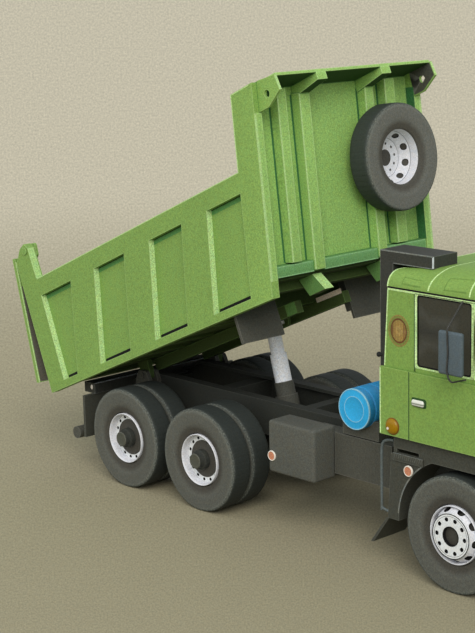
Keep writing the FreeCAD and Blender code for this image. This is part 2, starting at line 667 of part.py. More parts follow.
# bumper with the headlamps let into it
bumper_front = 42.0
bumper = nose(bumper_front, 38.0, 1.5, 22.5, 36.0)
bumper_top = plate_z([
    (rail_front, -38.0), (bumper_front, -38.0, nose_radius), (bumper_front, 38.0, nose_radius), (rail_front, 38.0),
], 35.0, 36.0)
lamp_holes = [rod(3.2, (bumper_front - 8, side * 27.0, 29.5), (bumper_front + 2, side * 27.0, 29.5)) for side in (-1, 1)]
stays = [box((rail_front, bumper_front - 1.2), (side * 12.0 - 2, side * 12.0 + 2), (25.0, 33.0)) for side in (-1, 1)]
keep("front_bumper", fused([bumper, bumper_top] + stays).cut(lamp_holes))
headlamp = rod(3.1, (bumper_front - 3.5, -27.0, 29.5), (bumper_front + 0.2, -27.0, 29.5))
keep("headlamps", both(headlamp))

# lamps, reflectors, handles and mirrors
marker = rod(2.4, (-22.3, -cab_half, 46.6), (-22.3, -cab_half - 1.2, 46.6))
reflectors = [
    rod(1.7, (-17.3, -sill_outer, 33.5), (-17.3, -sill_outer - 0.5, 33.5)),
    rod(1.7, (17.3, -sill_outer, 33.5), (17.3, -sill_outer - 0.5, 33.5)),
]
tank_reflector = rod(1.7, (-75.2, -37.0, 26.4), (-75.2, -37.5, 26.4))
left_reflector = rod(1.7, (-75.2, 36.5, 26.4), (-75.2, 37.0, 26.4))
keep("side_lamps", Part.makeCompound([both(Part.makeCompound([marker] + reflectors)), tank_reflector, left_reflector]))
handle = box((-14.9, -10.0), (-cab_half - 0.9, -cab_half), (54.7, 56.3))
keep("door_handles", both(handle))
mirror_body = plate_z([
    (0.6, -46.0, 0.6), (9.8, -46.0, 0.6), (9.8, -43.5, 0.6), (0.6, -43.5, 0.6),
], 67.3, 80.1)
mirror_arms = [
    rod(0.35, (4.8, -cab_upper_half, 87.3), (4.2, -45.6, 80.0)),
    rod(0.35, (4.2, -45.6, 80.6), (4.2, -45.6, 66.0)),
    rod(0.35, (4.2, -45.6, 66.0), (7.1, -cab_half, 63.6)),
]
keep("mirrors", both(fused([mirror_body] + mirror_arms)))


# ---- bed ----------------------------------------------------------------------------------------------------------
lean = math.tan(math.radians(headboard_lean))
post_slope = math.tan(math.radians(post_lean))


def front_line(z):
    """X of the headboard's front plane at a height in the bed frame."""
    return bed_front + (z - side_bottom) * lean


ear_hole = 1.2


def lifting_ear():
    """Plate with a hole that stands in front of the wing's top corner."""
    x = front_line(wing_top)
    ear = plate_y([
        (x - 2.0, wing_top), (x + 1.0, wing_top + 0.2), (x + 8.2, wing_top - 0.7), (x + 8.6, wing_top - 5.7),
        (x + 2.0, wing_top - 8.9), (x - 3.0, wing_top - 8.9),
    ], -bed_half + recess_depth, -bed_half + bed_wall)
    return ear.cut(rod(ear_hole, (x + 2.9, -bed_half, wing_top - 4.9), (x + 2.9, 0, wing_top - 4.9)))


def bed_side():
    """Right side: box with the recesses between its leaning posts, the tall wing in front and the gate post behind."""
    body = plate_y([
        (bed_rear, side_bottom), (bed_front, side_bottom), (front_line(wing_top), wing_top),
        (front_line(wing_top) - 10.3, wing_top), (front_line(top_rail_top) - 10.4, top_rail_top),
        (-19.2, top_rail_top), (-19.2, 57.2), (-20.9, 59.3), (-24.0, 58.3), (-28.5, 53.8),
    ], -bed_half, -bed_half + bed_wall)
    rise = top_rail_bottom - bottom_rail_top
    # bottom rear x, bottom front x, rear edge slope, front edge slope
    recesses = (
        (-20.5, -11.4, 0.04, post_slope),
        (3.5, 22.0, post_slope, post_slope),
        (36.8, 55.1, post_slope, post_slope),
        (69.4, 88.6, 0.35, lean),
    )
    cuts = []
    for rear, front, rear_slope, front_slope in recesses:
        cuts.append(plate_y([
            (rear, bottom_rail_top), (front, bottom_rail_top), (front + rise * front_slope, top_rail_bottom),
            (rear + rise * rear_slope, top_rail_bottom),
        ], -bed_half - 1, -bed_half + recess_depth))
    cuts.append(rod(gate_pin_radius + running, (gate_pivot_x, -bed_half - 1, gate_pivot_z),
                    (gate_pivot_x, 0, gate_pivot_z)))
    return fused([body.cut(cuts), lifting_ear()])


right_side = bed_side()
keep_bed("bed_side_right", right_side)
keep_bed("bed_side_left", mirrored(right_side))

inner_half = bed_half - bed_wall
panel_front = 2.5               # the headboard panel lies this far behind the plane of its ribs


def headboard_point(along, out):
    """(x, z) in the bed frame from distance up the headboard and distance in front of its ribs."""
    tilt = math.radians(headboard_lean)
    return (bed_front + along * math.sin(tilt) + out * math.cos(tilt),
            side_bottom + along * math.cos(tilt) - out * math.sin(tilt))


def headboard_piece(low, high, back, front, y_low, y_high):
    """Block on the headboard between two heights along it and two depths."""
    return plate_y([headboard_point(low, back), headboard_point(low, front), headboard_point(high, front),
                    headboard_point(high, back)], y_low, y_high)


board_top = (wing_top - side_bottom) / math.cos(math.radians(headboard_lean))
floor_along = (floor_bottom - side_bottom) / math.cos(math.radians(headboard_lean))
panel = headboard_piece(floor_along, board_top, -panel_front - card, -panel_front, -inner_half, inner_half)
ribs = []
# inner y, outer y, bottom, top along the headboard
for inner, outer, low, high in ((14.0, 18.5, 6.3, board_top - 3.0), (23.0, 28.0, 9.9, board_top - 3.0)):
    for y_low, y_high in ((inner, outer), (-outer, -inner)):
        ribs.append(headboard_piece(low, high, -panel_front - 0.2, 0, y_low, y_high))
cross_rail = headboard_piece(floor_along + 0.2, 9.5, -panel_front - 0.2, -0.6, -inner_half, inner_half)
top_x = front_line(wing_top)
lip = box((top_x - 3.5, top_x + 8.0), (-inner_half, inner_half), (wing_top - card, wing_top))
gussets = []
for y_low in (14.0, -18.5):
    gussets.append(plate_y([
        (top_x - 2.6, wing_top - 8.0), (top_x + 8.0, wing_top - 4.6), (top_x + 8.0, wing_top), (top_x - 1.0, wing_top),
    ], y_low, y_low + 4.5))
keep_bed("headboard", fused([panel, cross_rail, lip] + ribs + gussets))


# floor and the ladder below it: two long beams hung from cross members, hinge eyes, cylinder ears and front feet
floor_top = floor_bottom + card
gate_line = bed_rear + (floor_bottom - side_bottom) * math.tan(math.radians(post_rear_lean))
floor_plate = plate_y([
    (gate_line + 0.4, floor_bottom), (front_line(floor_bottom) - 3.7, floor_bottom),
    (front_line(floor_top) - 3.7, floor_top), (gate_line + 0.4, floor_top),
], -inner_half, inner_half)
keep_bed("bed_floor", floor_plate)

beam_rear = 0.6
beam_front = 92.0
long_beam = plate_y([
    (beam_rear, beam_bottom), (beam_front - 5.0, beam_bottom), (beam_front, beam_top), (beam_rear, beam_top),
], -beam_outer, -beam_inner)
members = []
# place along the bed, width, underside
for x, width, low in (
    (-24.0, 4.0, beam_top + 1.0), (0.0, 7.2, beam_top + 0.6), (18.0, 4.0, beam_top), (35.0, 4.0, beam_top),
    (cylinder_eye_x, 12.0, beam_top), (70.3, 4.0, beam_top), (88.0, 4.0, beam_top),
):
    members.append(box((x - width / 2, x + width / 2), (-inner_half, inner_half), (low, floor_bottom)))
hinge_eye = plate_y([
    (-3.6, floor_bottom), (-2.1, -1.2, 1.6), (2.1, -1.2, 1.6), (3.6, floor_bottom),
], -fork_lug_outer, -fork_lug_inner)
hinge_eye = fused([hinge_eye, rod(2.1, (0, -fork_lug_outer, 0), (0, -fork_lug_inner, 0))])
hinge_eye = hinge_eye.cut(rod(hinge_pin_radius + running, (0, -50, 0), (0, 0, 0)))
feet = plate_y([
    (90.2, floor_bottom), (96.9, floor_bottom), (100.5, 3.6), (93.0, 3.4),
], -18.0, -14.0)
right_pieces = [long_beam, hinge_eye, feet]
ear_gap = stage_radius[1] + 0.3  # the first stage's top rises between the ears as the bed comes down
pin_drift = 1.4                 # the eye's pin wanders this far from the middle of its slots
eye_ear = plate_y([
    (cylinder_eye_x - 6.0, floor_bottom), (cylinder_eye_x - 4.2, cylinder_eye_z - 2.6, 2.0),
    (cylinder_eye_x + 4.2, cylinder_eye_z - 2.6, 2.0), (cylinder_eye_x + 6.0, floor_bottom),
], -ear_gap - card, -ear_gap)
slot = rod(hinge_pin_radius + pin_drift, (cylinder_eye_x, -50, cylinder_eye_z), (cylinder_eye_x, 0, cylinder_eye_z))
right_pieces.append(eye_ear.cut(slot))
keep_bed("bed_underframe", fused(members + right_pieces + [mirrored(piece) for piece in right_pieces]))

splash_x = 75.0
splash = box((splash_x - card / 2, splash_x + card / 2), (-inner_half + 0.1, -17.0), (-5.0, floor_bottom))
stiffener = box((splash_x - 2.5, splash_x + card / 2), (-18.0, -17.0), (-2.0, floor_bottom))
keep_bed("splash_plates", both(fused([splash, stiffener])))

# spare wheel on the headboard's left ribs, its disc bolted to a post through the panel
spare_y = 18.3
spare_along = 38.7
spare_seat = 0.3
spare_tyre = tyre()
spare_rim = spare_wheel_rim()
post = rod(3.4, (0, tyre_width + running + 0.2, 0), (0, tyre_width + spare_seat, 0))
stud = rod(2.7, (0, tyre_width - 0.2, 0), (0, tyre_width + spare_seat, 0))
for node, shape in (("spare_tyre", spare_tyre), ("spare_rim", spare_rim), ("spare_carrier", fused([post, stud]))):
    shape = shape.copy()
    # the wheel's inward axis turns from +Y to point back into the headboard
    shape.rotate(vector(), vector(0, 0, 1), 90)
    shape.translate(vector(tyre_width + spare_seat, 0, 0))
    shape.rotate(vector(), across, headboard_lean)
    centre_x, centre_z = headboard_point(spare_along, 0)
    shape.translate(vector(centre_x, spare_y, centre_z))
    keep_bed(node, shape)


# ---- tailgate -----------------------------------------------------------------------------------------------------
def tailgate():
    """Gate drawn hanging plumb from its pivot: ribbed panel, two ears and their pins."""
    body = box((-gate_back, -gate_back + gate_depth), (-bed_half, bed_half), (-gate_low, -gate_high))
    outer = inner_half - seat_gap
    horn = box((-gate_back, -gate_back + gate_depth), (-bed_half, -outer + card), (-gate_high, -horn_high))
    bays = []
    count = 5
    pitch = (bed_width - 4.0) / count
    for index in range(count):
        low = -bed_half + 2.0 + index * pitch + 2.0
        bays.append(plate_x([
            (low, -gate_low + 4.0), (low + pitch - 4.0, -gate_low + 4.0), (low + pitch - 4.0, -gate_high - 5.0),
            (low, -gate_high - 5.0),
        ], -gate_back - 1, -gate_back + 0.7))
    body = body.cut(bays)
    ear = plate_y([
        (-gate_back, -gate_high), (-gate_back, -horn_high), (-2.2, 2.4, 1.0), (2.0, 2.4, 1.0), (2.0, -2.2, 1.0),
        (-gate_back + gate_depth, -horn_high - 8.2),
    ], -outer, -outer + card)
    pin = rod(gate_pin_radius, (0, -bed_half - 0.3, 0), (0, -outer + card, 0))
    head = rod(1.3, (0, -bed_half - 0.6, 0), (0, -bed_half - 0.2, 0))
    right = [horn, ear, pin, head]
    return fused([body] + right + [mirrored(piece) for piece in right])


gate = tailgate()
gate.rotate(vector(), across, post_rear_lean + gate_open)
gate.translate(vector(gate_pivot_x, 0, gate_pivot_z))
keep_bed("tailgate", gate)


# ---- tipping cylinder ---------------------------------------------------------------------------------------------
tilt = math.radians(tip_angle)
eye_x = hinge_x + cylinder_eye_x * math.cos(tilt) - cylinder_eye_z * math.sin(tilt)
eye_z = hinge_z + cylinder_eye_x * math.sin(tilt) + cylinder_eye_z * math.cos(tilt)
raised_length = math.hypot(eye_x - cylinder_base_x, eye_z - cylinder_base_z)
cylinder_lean = math.degrees(math.atan2(eye_x - cylinder_base_x, eye_z - cylinder_base_z))
tops = (cylinder_length, cylinder_length + stage_out[0], cylinder_length + sum(stage_out))


def hollow_stage(radius, wall, low, high):
    """Open tube standing on the cylinder's axis, with a collar at its top."""
    tube = Part.makeCylinder(radius, high - low, vector(0, 0, low))
    return tube.cut(Part.makeCylinder(radius - wall, high - low, vector(0, 0, low + wall)))


def keep_stage(node, shape):
    """Leans a piece of the cylinder about its base pin and stores it."""
    shape = shape.copy()
    shape.rotate(vector(), across, cylinder_lean)
    shape.translate(vector(cylinder_base_x, 0, cylinder_base_z))
    parts[node] = shape


foot_half = cheek_inner - seat_gap
foot = rod(2.4, (0, -foot_half, 0), (0, foot_half, 0))
barrel = hollow_stage(stage_radius[0], stage_wall[0], 1.4, tops[0])
barrel = fused([foot, barrel]).cut(rod(hinge_pin_radius + running, (0, -10, 0), (0, 10, 0)))
keep_stage("cylinder_tube", barrel)
keep_stage("cylinder_stage_1", hollow_stage(stage_radius[1], stage_wall[1], tops[0] - 12.0, tops[1]))
keep_stage("cylinder_stage_2", hollow_stage(stage_radius[2], stage_wall[2], tops[1] - 5.0, tops[2]))
ram_top = raised_length - 2.6
ram = Part.makeCylinder(stage_radius[3], ram_top - tops[2] + 4.0, vector(0, 0, tops[2] - 4.0))
neck = Part.makeCylinder(1.3, 2.6, vector(0, 0, ram_top))
eye = rod(1.8, (0, -stage_radius[3], raised_length), (0, stage_radius[3], raised_length))
eye_pin = rod(hinge_pin_radius, (0, -ear_gap - card - 0.6, raised_length), (0, ear_gap + card + 0.6, raised_length))
keep_stage("cylinder_stage_3", fused([ram, neck, eye, eye_pin]))


# ---- write one file per piece -------------------------------------------------------------------------------------
os.makedirs("parts", exist_ok=True)
for node, shape in parts.items():
    shape = shape.copy()
    shape.translate(vector(origin_to_front_axle, 0, 0))
    shape.exportStep(f"parts/{node}.step")
    print(node, "solids", len(shape.Solids), "valid", shape.isValid())
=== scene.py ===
import math

import bmesh
import bpy
import numpy as np
from mathutils import Euler, Matrix, Vector


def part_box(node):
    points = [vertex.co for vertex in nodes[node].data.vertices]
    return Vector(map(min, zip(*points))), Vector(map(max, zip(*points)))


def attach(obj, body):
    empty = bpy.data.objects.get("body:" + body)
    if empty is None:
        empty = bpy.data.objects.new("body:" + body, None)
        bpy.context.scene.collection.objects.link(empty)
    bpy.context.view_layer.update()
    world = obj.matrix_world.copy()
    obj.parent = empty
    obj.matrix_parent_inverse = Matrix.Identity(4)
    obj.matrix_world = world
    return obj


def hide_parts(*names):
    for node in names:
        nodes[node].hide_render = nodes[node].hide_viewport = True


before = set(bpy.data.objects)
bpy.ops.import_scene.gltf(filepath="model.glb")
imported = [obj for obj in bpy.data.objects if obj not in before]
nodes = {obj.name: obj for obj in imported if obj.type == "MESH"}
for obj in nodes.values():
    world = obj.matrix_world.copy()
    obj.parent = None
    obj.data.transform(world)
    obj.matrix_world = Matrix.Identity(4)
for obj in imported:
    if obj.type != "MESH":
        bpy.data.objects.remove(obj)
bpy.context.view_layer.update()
mm = 0.001
truckShift = 84.0  # front axle's place along X, in mm
print("frame loaded:", len(nodes), "nodes")

# camera, floor and light: places in mm, angles in degrees
view = {"place": (375.95, -392.52, 180.52), "heading": 137.06, "down": 11.97, "roll": 1.26, "lens": 94.32,
        "sensor": 36, "nearest": 10.0}
light = {
    "world": (0.93, 0.97, 1.0, 1.0), "worldStrength": 0.66,
    "suns": {
        "key": {"azimuth": -44, "elevation": 37, "angle": 38, "power": 2.0, "colour": (1.0, 0.97, 0.92)},
        "fill": {"azimuth": -110, "elevation": 30, "angle": 70, "power": 0.35, "colour": (0.96, 0.98, 1.0)},
    },
}
# floor: near is darker as painted shade round the truck, far is the paler paper
floorLook = {"near": (153, 146, 120), "far": (191, 183, 161), "nearReach": 0.17, "farReach": 0.85, "half": 40.0,
             "grainCentre": (375.95, -392.52), "grainAcross": 900.0, "grainDeep": 160.0, "speckle": 0.26}


def tilted(azimuth, elevation):  # turn that faces a heading in degrees and looks down by the elevation
    return Euler((math.radians(90 - elevation), 0, math.radians(azimuth))).to_matrix()


camera = bpy.data.cameras.new("camera")
camera.lens = view["lens"]
camera.sensor_width = view["sensor"]
camera.clip_start = view["nearest"] * mm
cameraObject = bpy.data.objects.new("camera", camera)
bpy.context.scene.collection.objects.link(cameraObject)
turn = tilted(view["heading"] - 90, view["down"]) @ Matrix.Rotation(-math.radians(view["roll"]), 3, "Z")
cameraObject.matrix_world = Matrix.Translation(Vector(view["place"]) * mm) @ turn.to_4x4()
bpy.context.scene.camera = cameraObject
bpy.context.scene.view_settings.view_transform = "Standard"

world = bpy.data.worlds.new("studio")
bpy.context.scene.world = world
world.use_nodes = True
world.node_tree.nodes["Background"].inputs["Color"].default_value = light["world"]
world.node_tree.nodes["Background"].inputs["Strength"].default_value = light["worldStrength"]
for name, look in light["suns"].items():
    sun = bpy.data.lights.new(name, "SUN")
    sun.angle = math.radians(look["angle"])
    sun.energy = look["power"]
    sun.color = look["colour"]
    sunObject = bpy.data.objects.new(name, sun)
    aim = tilted(look["azimuth"] + 90, look["elevation"])
    sunObject.matrix_world = Matrix.Translation((0, 0, 1)) @ aim.to_4x4()
    bpy.context.scene.collection.objects.link(sunObject)
print("camera and light set")


def linear(red, green, blue):  # a colour written as 0 to 255 display values, as Blender's linear colour
    values = np.array([red, green, blue]) / 255
    values = np.where(values < 0.04045, values / 12.92, ((values + 0.055) / 1.055) ** 2.4)
    return (*values.tolist(), 1.0)


def newGroup(name, inputs, outputs):  # inputs: name to default value; outputs: name to kind of socket
    group = bpy.data.node_groups.new(name, "ShaderNodeTree")
    for label, value in inputs.items():
        kind = "NodeSocketColor" if isinstance(value, tuple) else "NodeSocketFloat"
        group.interface.new_socket(label, in_out="INPUT", socket_type=kind).default_value = value
    for label, kind in outputs.items():
        group.interface.new_socket(label, in_out="OUTPUT", socket_type=kind)
    return group, group.nodes.new("NodeGroupInput").outputs, group.nodes.new("NodeGroupOutput").inputs


def newMaterial(name, rough, gloss=0.5):
    material = bpy.data.materials.new(name)
    material.use_nodes = True
    shader = material.node_tree.nodes["Principled BSDF"].inputs
    shader["Roughness"].default_value = rough
    shader["Specular IOR Level"].default_value = gloss
    return material, material.node_tree, shader


def addNode(tree, kind, links=None, **settings):  # links: input name or number to a value or another node's output
    node = tree.nodes.new(kind)
    for key, value in settings.items():
        setattr(node, key, value)
    for key, value in (links or {}).items():
        if isinstance(value, bpy.types.NodeSocket):
            tree.links.new(value, node.inputs[key])
        else:
            node.inputs[key].default_value = value
    return node


def maths(tree, operation, first, second=0.0, clamp=False):
    return addNode(tree, "ShaderNodeMath", {0: first, 1: second}, operation=operation, use_clamp=clamp).outputs[0]


def times(tree, first, second, clamp=False):
    return maths(tree, "MULTIPLY", first, second, clamp)


def vectorMaths(tree, operation, first, second=(0, 0, 0), result="Vector"):
    return addNode(tree, "ShaderNodeVectorMath", {0: first, 1: second}, operation=operation).outputs[result]


def scaled(tree, colour, tone):
    return addNode(tree, "ShaderNodeVectorMath", {0: colour, "Scale": tone}, operation="SCALE").outputs[0]


def mixColour(tree, share, first, second, blend="MIX"):  # 0, 6 and 7 are a colour mix's share and its two colours
    return addNode(tree, "ShaderNodeMix", {0: share, 6: first, 7: second}, data_type="RGBA",
                   blend_type=blend).outputs[2]


def ramp(tree, value, low, high, toLow=0.0, toHigh=1.0, kind="LINEAR"):
    links = {"Value": value, "From Min": low, "From Max": high, "To Min": toLow, "To Max": toHigh}
    return addNode(tree, "ShaderNodeMapRange", links, clamp=True, interpolation_type=kind).outputs[0]


def noise(tree, vector, scale, detail=2.0, rough=0.6):
    links = {"Vector": vector, "Scale": scale, "Detail": detail, "Roughness": rough}
    return addNode(tree, "ShaderNodeTexNoise", links).outputs[0]


def objectPlace(tree):
    return addNode(tree, "ShaderNodeTexCoord").outputs["Object"]


def split(tree, vector):
    return addNode(tree, "ShaderNodeSeparateXYZ", {0: vector}).outputs


def joined(tree, x, y):
    return addNode(tree, "ShaderNodeCombineXYZ", {0: x, 1: y}).outputs[0]


def placeGroup(tree, group, links):
    return addNode(tree, "ShaderNodeGroup", links, node_tree=group).outputs


def setSurface(tree, shader, ink, strength, depth):  # ink's colour, and its height as a bump of the depth in mm
    tree.links.new(ink["Colour"], shader["Base Color"])
    bump = addNode(tree, "ShaderNodeBump", {"Height": ink["Height"], "Strength": strength, "Distance": depth * mm})
    tree.links.new(bump.outputs[0], shader["Normal"])


inkLook = {"fineRough": 0.65, "tintScale": 0.37, "slowScale": 55.0, "swing": 3.4,
           "cool": (0.86, 1.0, 1.16, 1), "warm": (1.14, 1.0, 0.84, 1)}
bareLook = {"bent": (0.985, 0.90), "reach": 1.6, "open": (0.78, 0.96), "patchScale": 900.0, "kept": (0.30, 0.62)}


def makeInkGrain(look):
    # printed card: small dots of ink, soft drifts of tone, and the dots as the paper's fine tooth
    inputs = {"Colour": (0.5, 0.5, 0.5, 1), "Grain": 0.2, "Drift": 0.1, "Dot Size": 0.45}
    group, enter, leave = newGroup("inkGrain", inputs, {"Colour": "NodeSocketColor", "Height": "NodeSocketFloat"})
    where = objectPlace(group)
    dots = maths(group, "DIVIDE", 1 / mm, enter["Dot Size"])
    fine = noise(group, where, dots, 2.0, look["fineRough"])
    tint = noise(group, where, times(group, dots, look["tintScale"]), 3.0)
    slow = noise(group, where, look["slowScale"], 2.0, 0.5)
    swing = times(group, maths(group, "SUBTRACT", fine, 0.5), enter["Grain"])
    slowSwing = times(group, maths(group, "SUBTRACT", slow, 0.5), enter["Drift"])
    tone = maths(group, "ADD", maths(group, "ADD", times(group, swing, look["swing"]), slowSwing), 1.0)
    hue = mixColour(group, ramp(group, tint, 0.3, 0.7), look["cool"], look["warm"])
    tinted = mixColour(group, enter["Grain"], scaled(group, enter["Colour"], tone), hue, "MULTIPLY")
    group.links.new(tinted, leave["Colour"])
    group.links.new(fine, leave["Height"])
    return group


def makeBareEdge(look):
    # pale paper where a sheet is cut or folded: how far the rounded normal leaves the true one, on outside edges
    # only; inside folds give the mask for painted shade
    outputs = {"Edge": "NodeSocketFloat", "FoldShade": "NodeSocketFloat"}
    group, enter, leave = newGroup("bareEdge", {"Width": 0.35, "Amount": 1.0, "Breakup": 0.5}, outputs)
    radius = times(group, enter["Width"], mm)
    rounded = addNode(group, "ShaderNodeBevel", {"Radius": radius}, samples=6).outputs[0]
    true = addNode(group, "ShaderNodeNewGeometry").outputs["Normal"]
    bent = ramp(group, vectorMaths(group, "DOT_PRODUCT", rounded, true, "Value"), *look["bent"])
    openness = addNode(group, "ShaderNodeAmbientOcclusion", {"Distance": times(group, radius, look["reach"])},
                       samples=4, only_local=True).outputs["AO"]
    convex = ramp(group, openness, *look["open"])
    kept = ramp(group, noise(group, objectPlace(group), look["patchScale"]), *look["kept"])
    share = maths(group, "ADD", times(group, maths(group, "SUBTRACT", kept, 1.0), enter["Breakup"]), 1.0)
    edge = times(group, times(group, bent, convex), times(group, share, enter["Amount"]), clamp=True)
    group.links.new(edge, leave["Edge"])
    # inside folds and corners: the mask for painted shade
    group.links.new(times(group, bent, maths(group, "SUBTRACT", 1.0, convex)), leave["FoldShade"])
    return group


inkGrain = makeInkGrain(inkLook)
bareEdge = makeBareEdge(bareLook)

# printed and folded cards: ink, grain, drift of tone, bare edge's colour, its width in mm and its strength, painted
# shade colour in inside folds, roughness, and any other settings
lookKeys = ("colour", "grain", "drift", "edge", "edgeWidth", "edgeAmount", "fold", "rough")
lookRows = {
    "green": ((122, 155, 74), 0.30, 0.12, (172, 200, 124), 0.4, 0.55, (60, 96, 46), 0.62),
    "bed": ((124, 158, 80), 0.44, 0.14, (176, 208, 138), 0.5, 0.6, (62, 118, 62), 0.62,
            {"breakup": 0.4, "foldShadeAmount": 0.7, "gain": (-0.012, 0.01, 1.18)}),
    "wing": ((147, 187, 102), 0.44, 0.14, (188, 220, 150), 0.6, 1.0, (52, 108, 62), 0.62,
             {"breakup": 0.35, "foldShadeAmount": 0.8}),
    "rail": ((104, 152, 92), 0.4, 0.14, (168, 214, 160), 0.6, 1.0, (40, 96, 60), 0.62,
             {"breakup": 0.4, "foldShadeAmount": 0.8}),
    "railEdge": ((132, 178, 122), 0.4, 0.1, (140, 190, 130), 0.2, 0.3, (80, 120, 80), 0.7),
    "teal": ((58, 112, 66), 0.4, 0.2, (96, 150, 100), 0.3, 0.6, (28, 66, 40), 0.7),
    # band: the darker band under the sunk panels' lips, a painted shadow
    "band": ((84, 138, 76), 0.4, 0.14, (110, 160, 96), 0.2, 0.3, (40, 80, 40), 0.7),
    "light": ((168, 204, 128), 0.5, 0.14, (200, 226, 166), 0.5, 1.0, (80, 130, 70), 0.65),
    "pale": ((188, 220, 150), 0.6, 0.14, (215, 232, 180), 0.3, 0.5, (110, 150, 90), 0.7),
    "shade": ((40, 72, 30), 0.3, 0.1, (60, 90, 44), 0.2, 0.3, (20, 40, 16), 0.8),
    "hatch": ((102, 134, 60), 0.4, 0.14, (110, 140, 70), 0.2, 0.3, (60, 90, 40), 0.7),
    "footSide": ((96, 138, 74), 0.4, 0.14, (130, 176, 112), 0.2, 0.3, (60, 100, 60), 0.7),
    # under: darker green for the bed's floor and underframe, painted shade below the bed
    "under": ((58, 74, 34), 0.34, 0.2, (104, 138, 66), 0.4, 0.8, (22, 28, 14), 0.75),
    "bare": ((240, 224, 204), 0.3, 0.1, (240, 224, 206), 0.2, 0.3, (120, 100, 90), 0.8),
    "dark": ((76, 76, 68), 0.40, 0.18, (132, 132, 124), 0.4, 0.6, (30, 30, 27), 0.7),
    "dim": ((64, 65, 57), 0.4, 0.2, (112, 114, 106), 0.4, 0.6, (26, 26, 24), 0.7),
    # the next card is a darker copy of the dark card: painted shade under the truck and in the rear hubs' recess
    "pitShade": ((48, 50, 45), 0.4, 0.2, (96, 98, 92), 0.4, 0.5, (16, 16, 15), 0.7),
    "box": ((84, 85, 78), 0.4, 0.2, (104, 106, 100), 0.8, 0.6, (30, 30, 27), 0.7),
    "grey": ((88, 84, 74), 0.40, 0.18, (140, 140, 130), 0.4, 0.6, (40, 40, 36), 0.7),
    "black": ((54, 55, 50), 0.40, 0.18, (118, 120, 114), 0.45, 0.8, (22, 22, 20), 0.6),
    "hole": ((14, 14, 14), 0.05, 0.05, (14, 14, 14), 0.1, 0.0, (8, 8, 8), 0.9),
    "blue": ((34, 128, 190), 0.2, 0.08, (150, 210, 238), 0.4, 0.8, (14, 60, 110), 0.5),
    "silver": ((238, 240, 244), 0.3, 0.08, (240, 240, 240), 0.3, 0.5, (90, 90, 92), 0.5),
    "rim": ((216, 217, 222), 0.22, 0.14, (240, 240, 245), 0.25, 0.5, (84, 86, 94), 0.5),
    "plate": ((221, 224, 225), 0.22, 0.14, (240, 240, 236), 0.2, 0.4, (84, 84, 80), 0.5),
    "line": ((120, 122, 128), 0.3, 0.1, (120, 122, 128), 0.1, 0.0, (90, 90, 96), 0.6),
    "wheelDark": ((66, 64, 58), 0.34, 0.18, (112, 110, 102), 0.3, 0.5, (24, 24, 22), 0.6),
    "hubFace": ((76, 77, 67), 0.34, 0.18, (124, 124, 112), 0.5, 0.9, (24, 24, 22), 0.6),
    "window": ((58, 57, 47), 0.34, 0.35, (90, 95, 90), 0.2, 0.3, (14, 14, 12), 0.6, {"gloss": 0.25}),
    "mirror": ((80, 92, 98), 0.3, 0.16, (132, 144, 150), 0.3, 0.6, (40, 44, 48), 0.5),
    # lamp: the darker edge colour is painted shade round the dome's rim
    "lamp": ((148, 110, 0), 0.14, 0.1, (120, 70, 0), 0.35, 0.7, (110, 60, 0), 0.3),
    "clear": ((222, 224, 226), 0.06, 0.05, (240, 240, 240), 0.2, 0.4, (120, 120, 120), 0.2, {"gloss": 0.6}),
}
otherSettings = {"breakup": 0.5, "foldShadeAmount": 0.5, "gloss": 0.3, "dots": 0.45, "tooth": 0.25, "toothDepth": 0.06}
slotCards = {
    "dark_card": "dark", "tyre_card": "dark", "rim_card": "rim", "green_card": "green", "blue_card": "blue",
    "silver_card": "silver", "lamp_gloss": "lamp", "lamp_clear": "clear", "window_card": "window",
    "mirror_card": "mirror",
}
# the bed's floor and underframe take the under card, painted shade
nodeCards = {"bed": ("bed_side_left", "bed_side_right", "tailgate"), "under": ("bed_floor", "bed_underframe"),
             "black": ("rear_lamp_bar", "air_intake"), "dark": ("splash_plates",),
             "dim": ("front_mudguards", "mud_flaps"),
             # chassis, axles and springs take the darker card as painted shade
             "pitShade": ("chassis_frame", "mid_axle", "rear_axle", "rear_springs", "front_springs", "front_axle")}
cardLooks, cards = {}, {}


def addCard(name, look):
    look = {**otherSettings, **look}
    material, tree, shader = newMaterial(name + "Card", look["rough"], look["gloss"])
    ink = placeGroup(tree, inkGrain, {"Colour": linear(*look["colour"]), "Grain": look["grain"],
                                      "Drift": look["drift"], "Dot Size": look["dots"]})
    edge = placeGroup(tree, bareEdge, {"Width": look["edgeWidth"], "Amount": look["edgeAmount"],
                                       "Breakup": look["breakup"]})
    inked = ink["Colour"]
    if "gain" in look:  # tone rising along X between two places in metres
        first, last, most = look["gain"]
        inked = scaled(tree, inked, ramp(tree, split(tree, objectPlace(tree))[0], first, last, 1.0, most))
    inked = mixColour(tree, edge["Edge"], inked, linear(*look["edge"]))
    # painted shade: a darker colour in inside folds and corners
    inked = mixColour(tree, times(tree, edge["FoldShade"], look["foldShadeAmount"]), inked, linear(*look["fold"]))
    setSurface(tree, shader, {"Colour": inked, "Height": ink["Height"]}, look["tooth"], look["toothDepth"])
    cardLooks[name], cards[name] = look, material


def alteredCard(name, base, **changes):
    addCard(name, {**cardLooks[base], **changes})


for name, row in lookRows.items():
    settings = row[len(lookKeys)] if len(row) > len(lookKeys) else {}
    addCard(name, dict(zip(lookKeys, row), **settings))
nodeCard = {node: card for card, names in nodeCards.items() for node in names}
for node in nodes.values():
    for slot in node.material_slots:
        slot.material = cards[nodeCard.get(node.name, slotCards[slot.material.name.split(".")[0]])]
print("materials made:", len(cards))


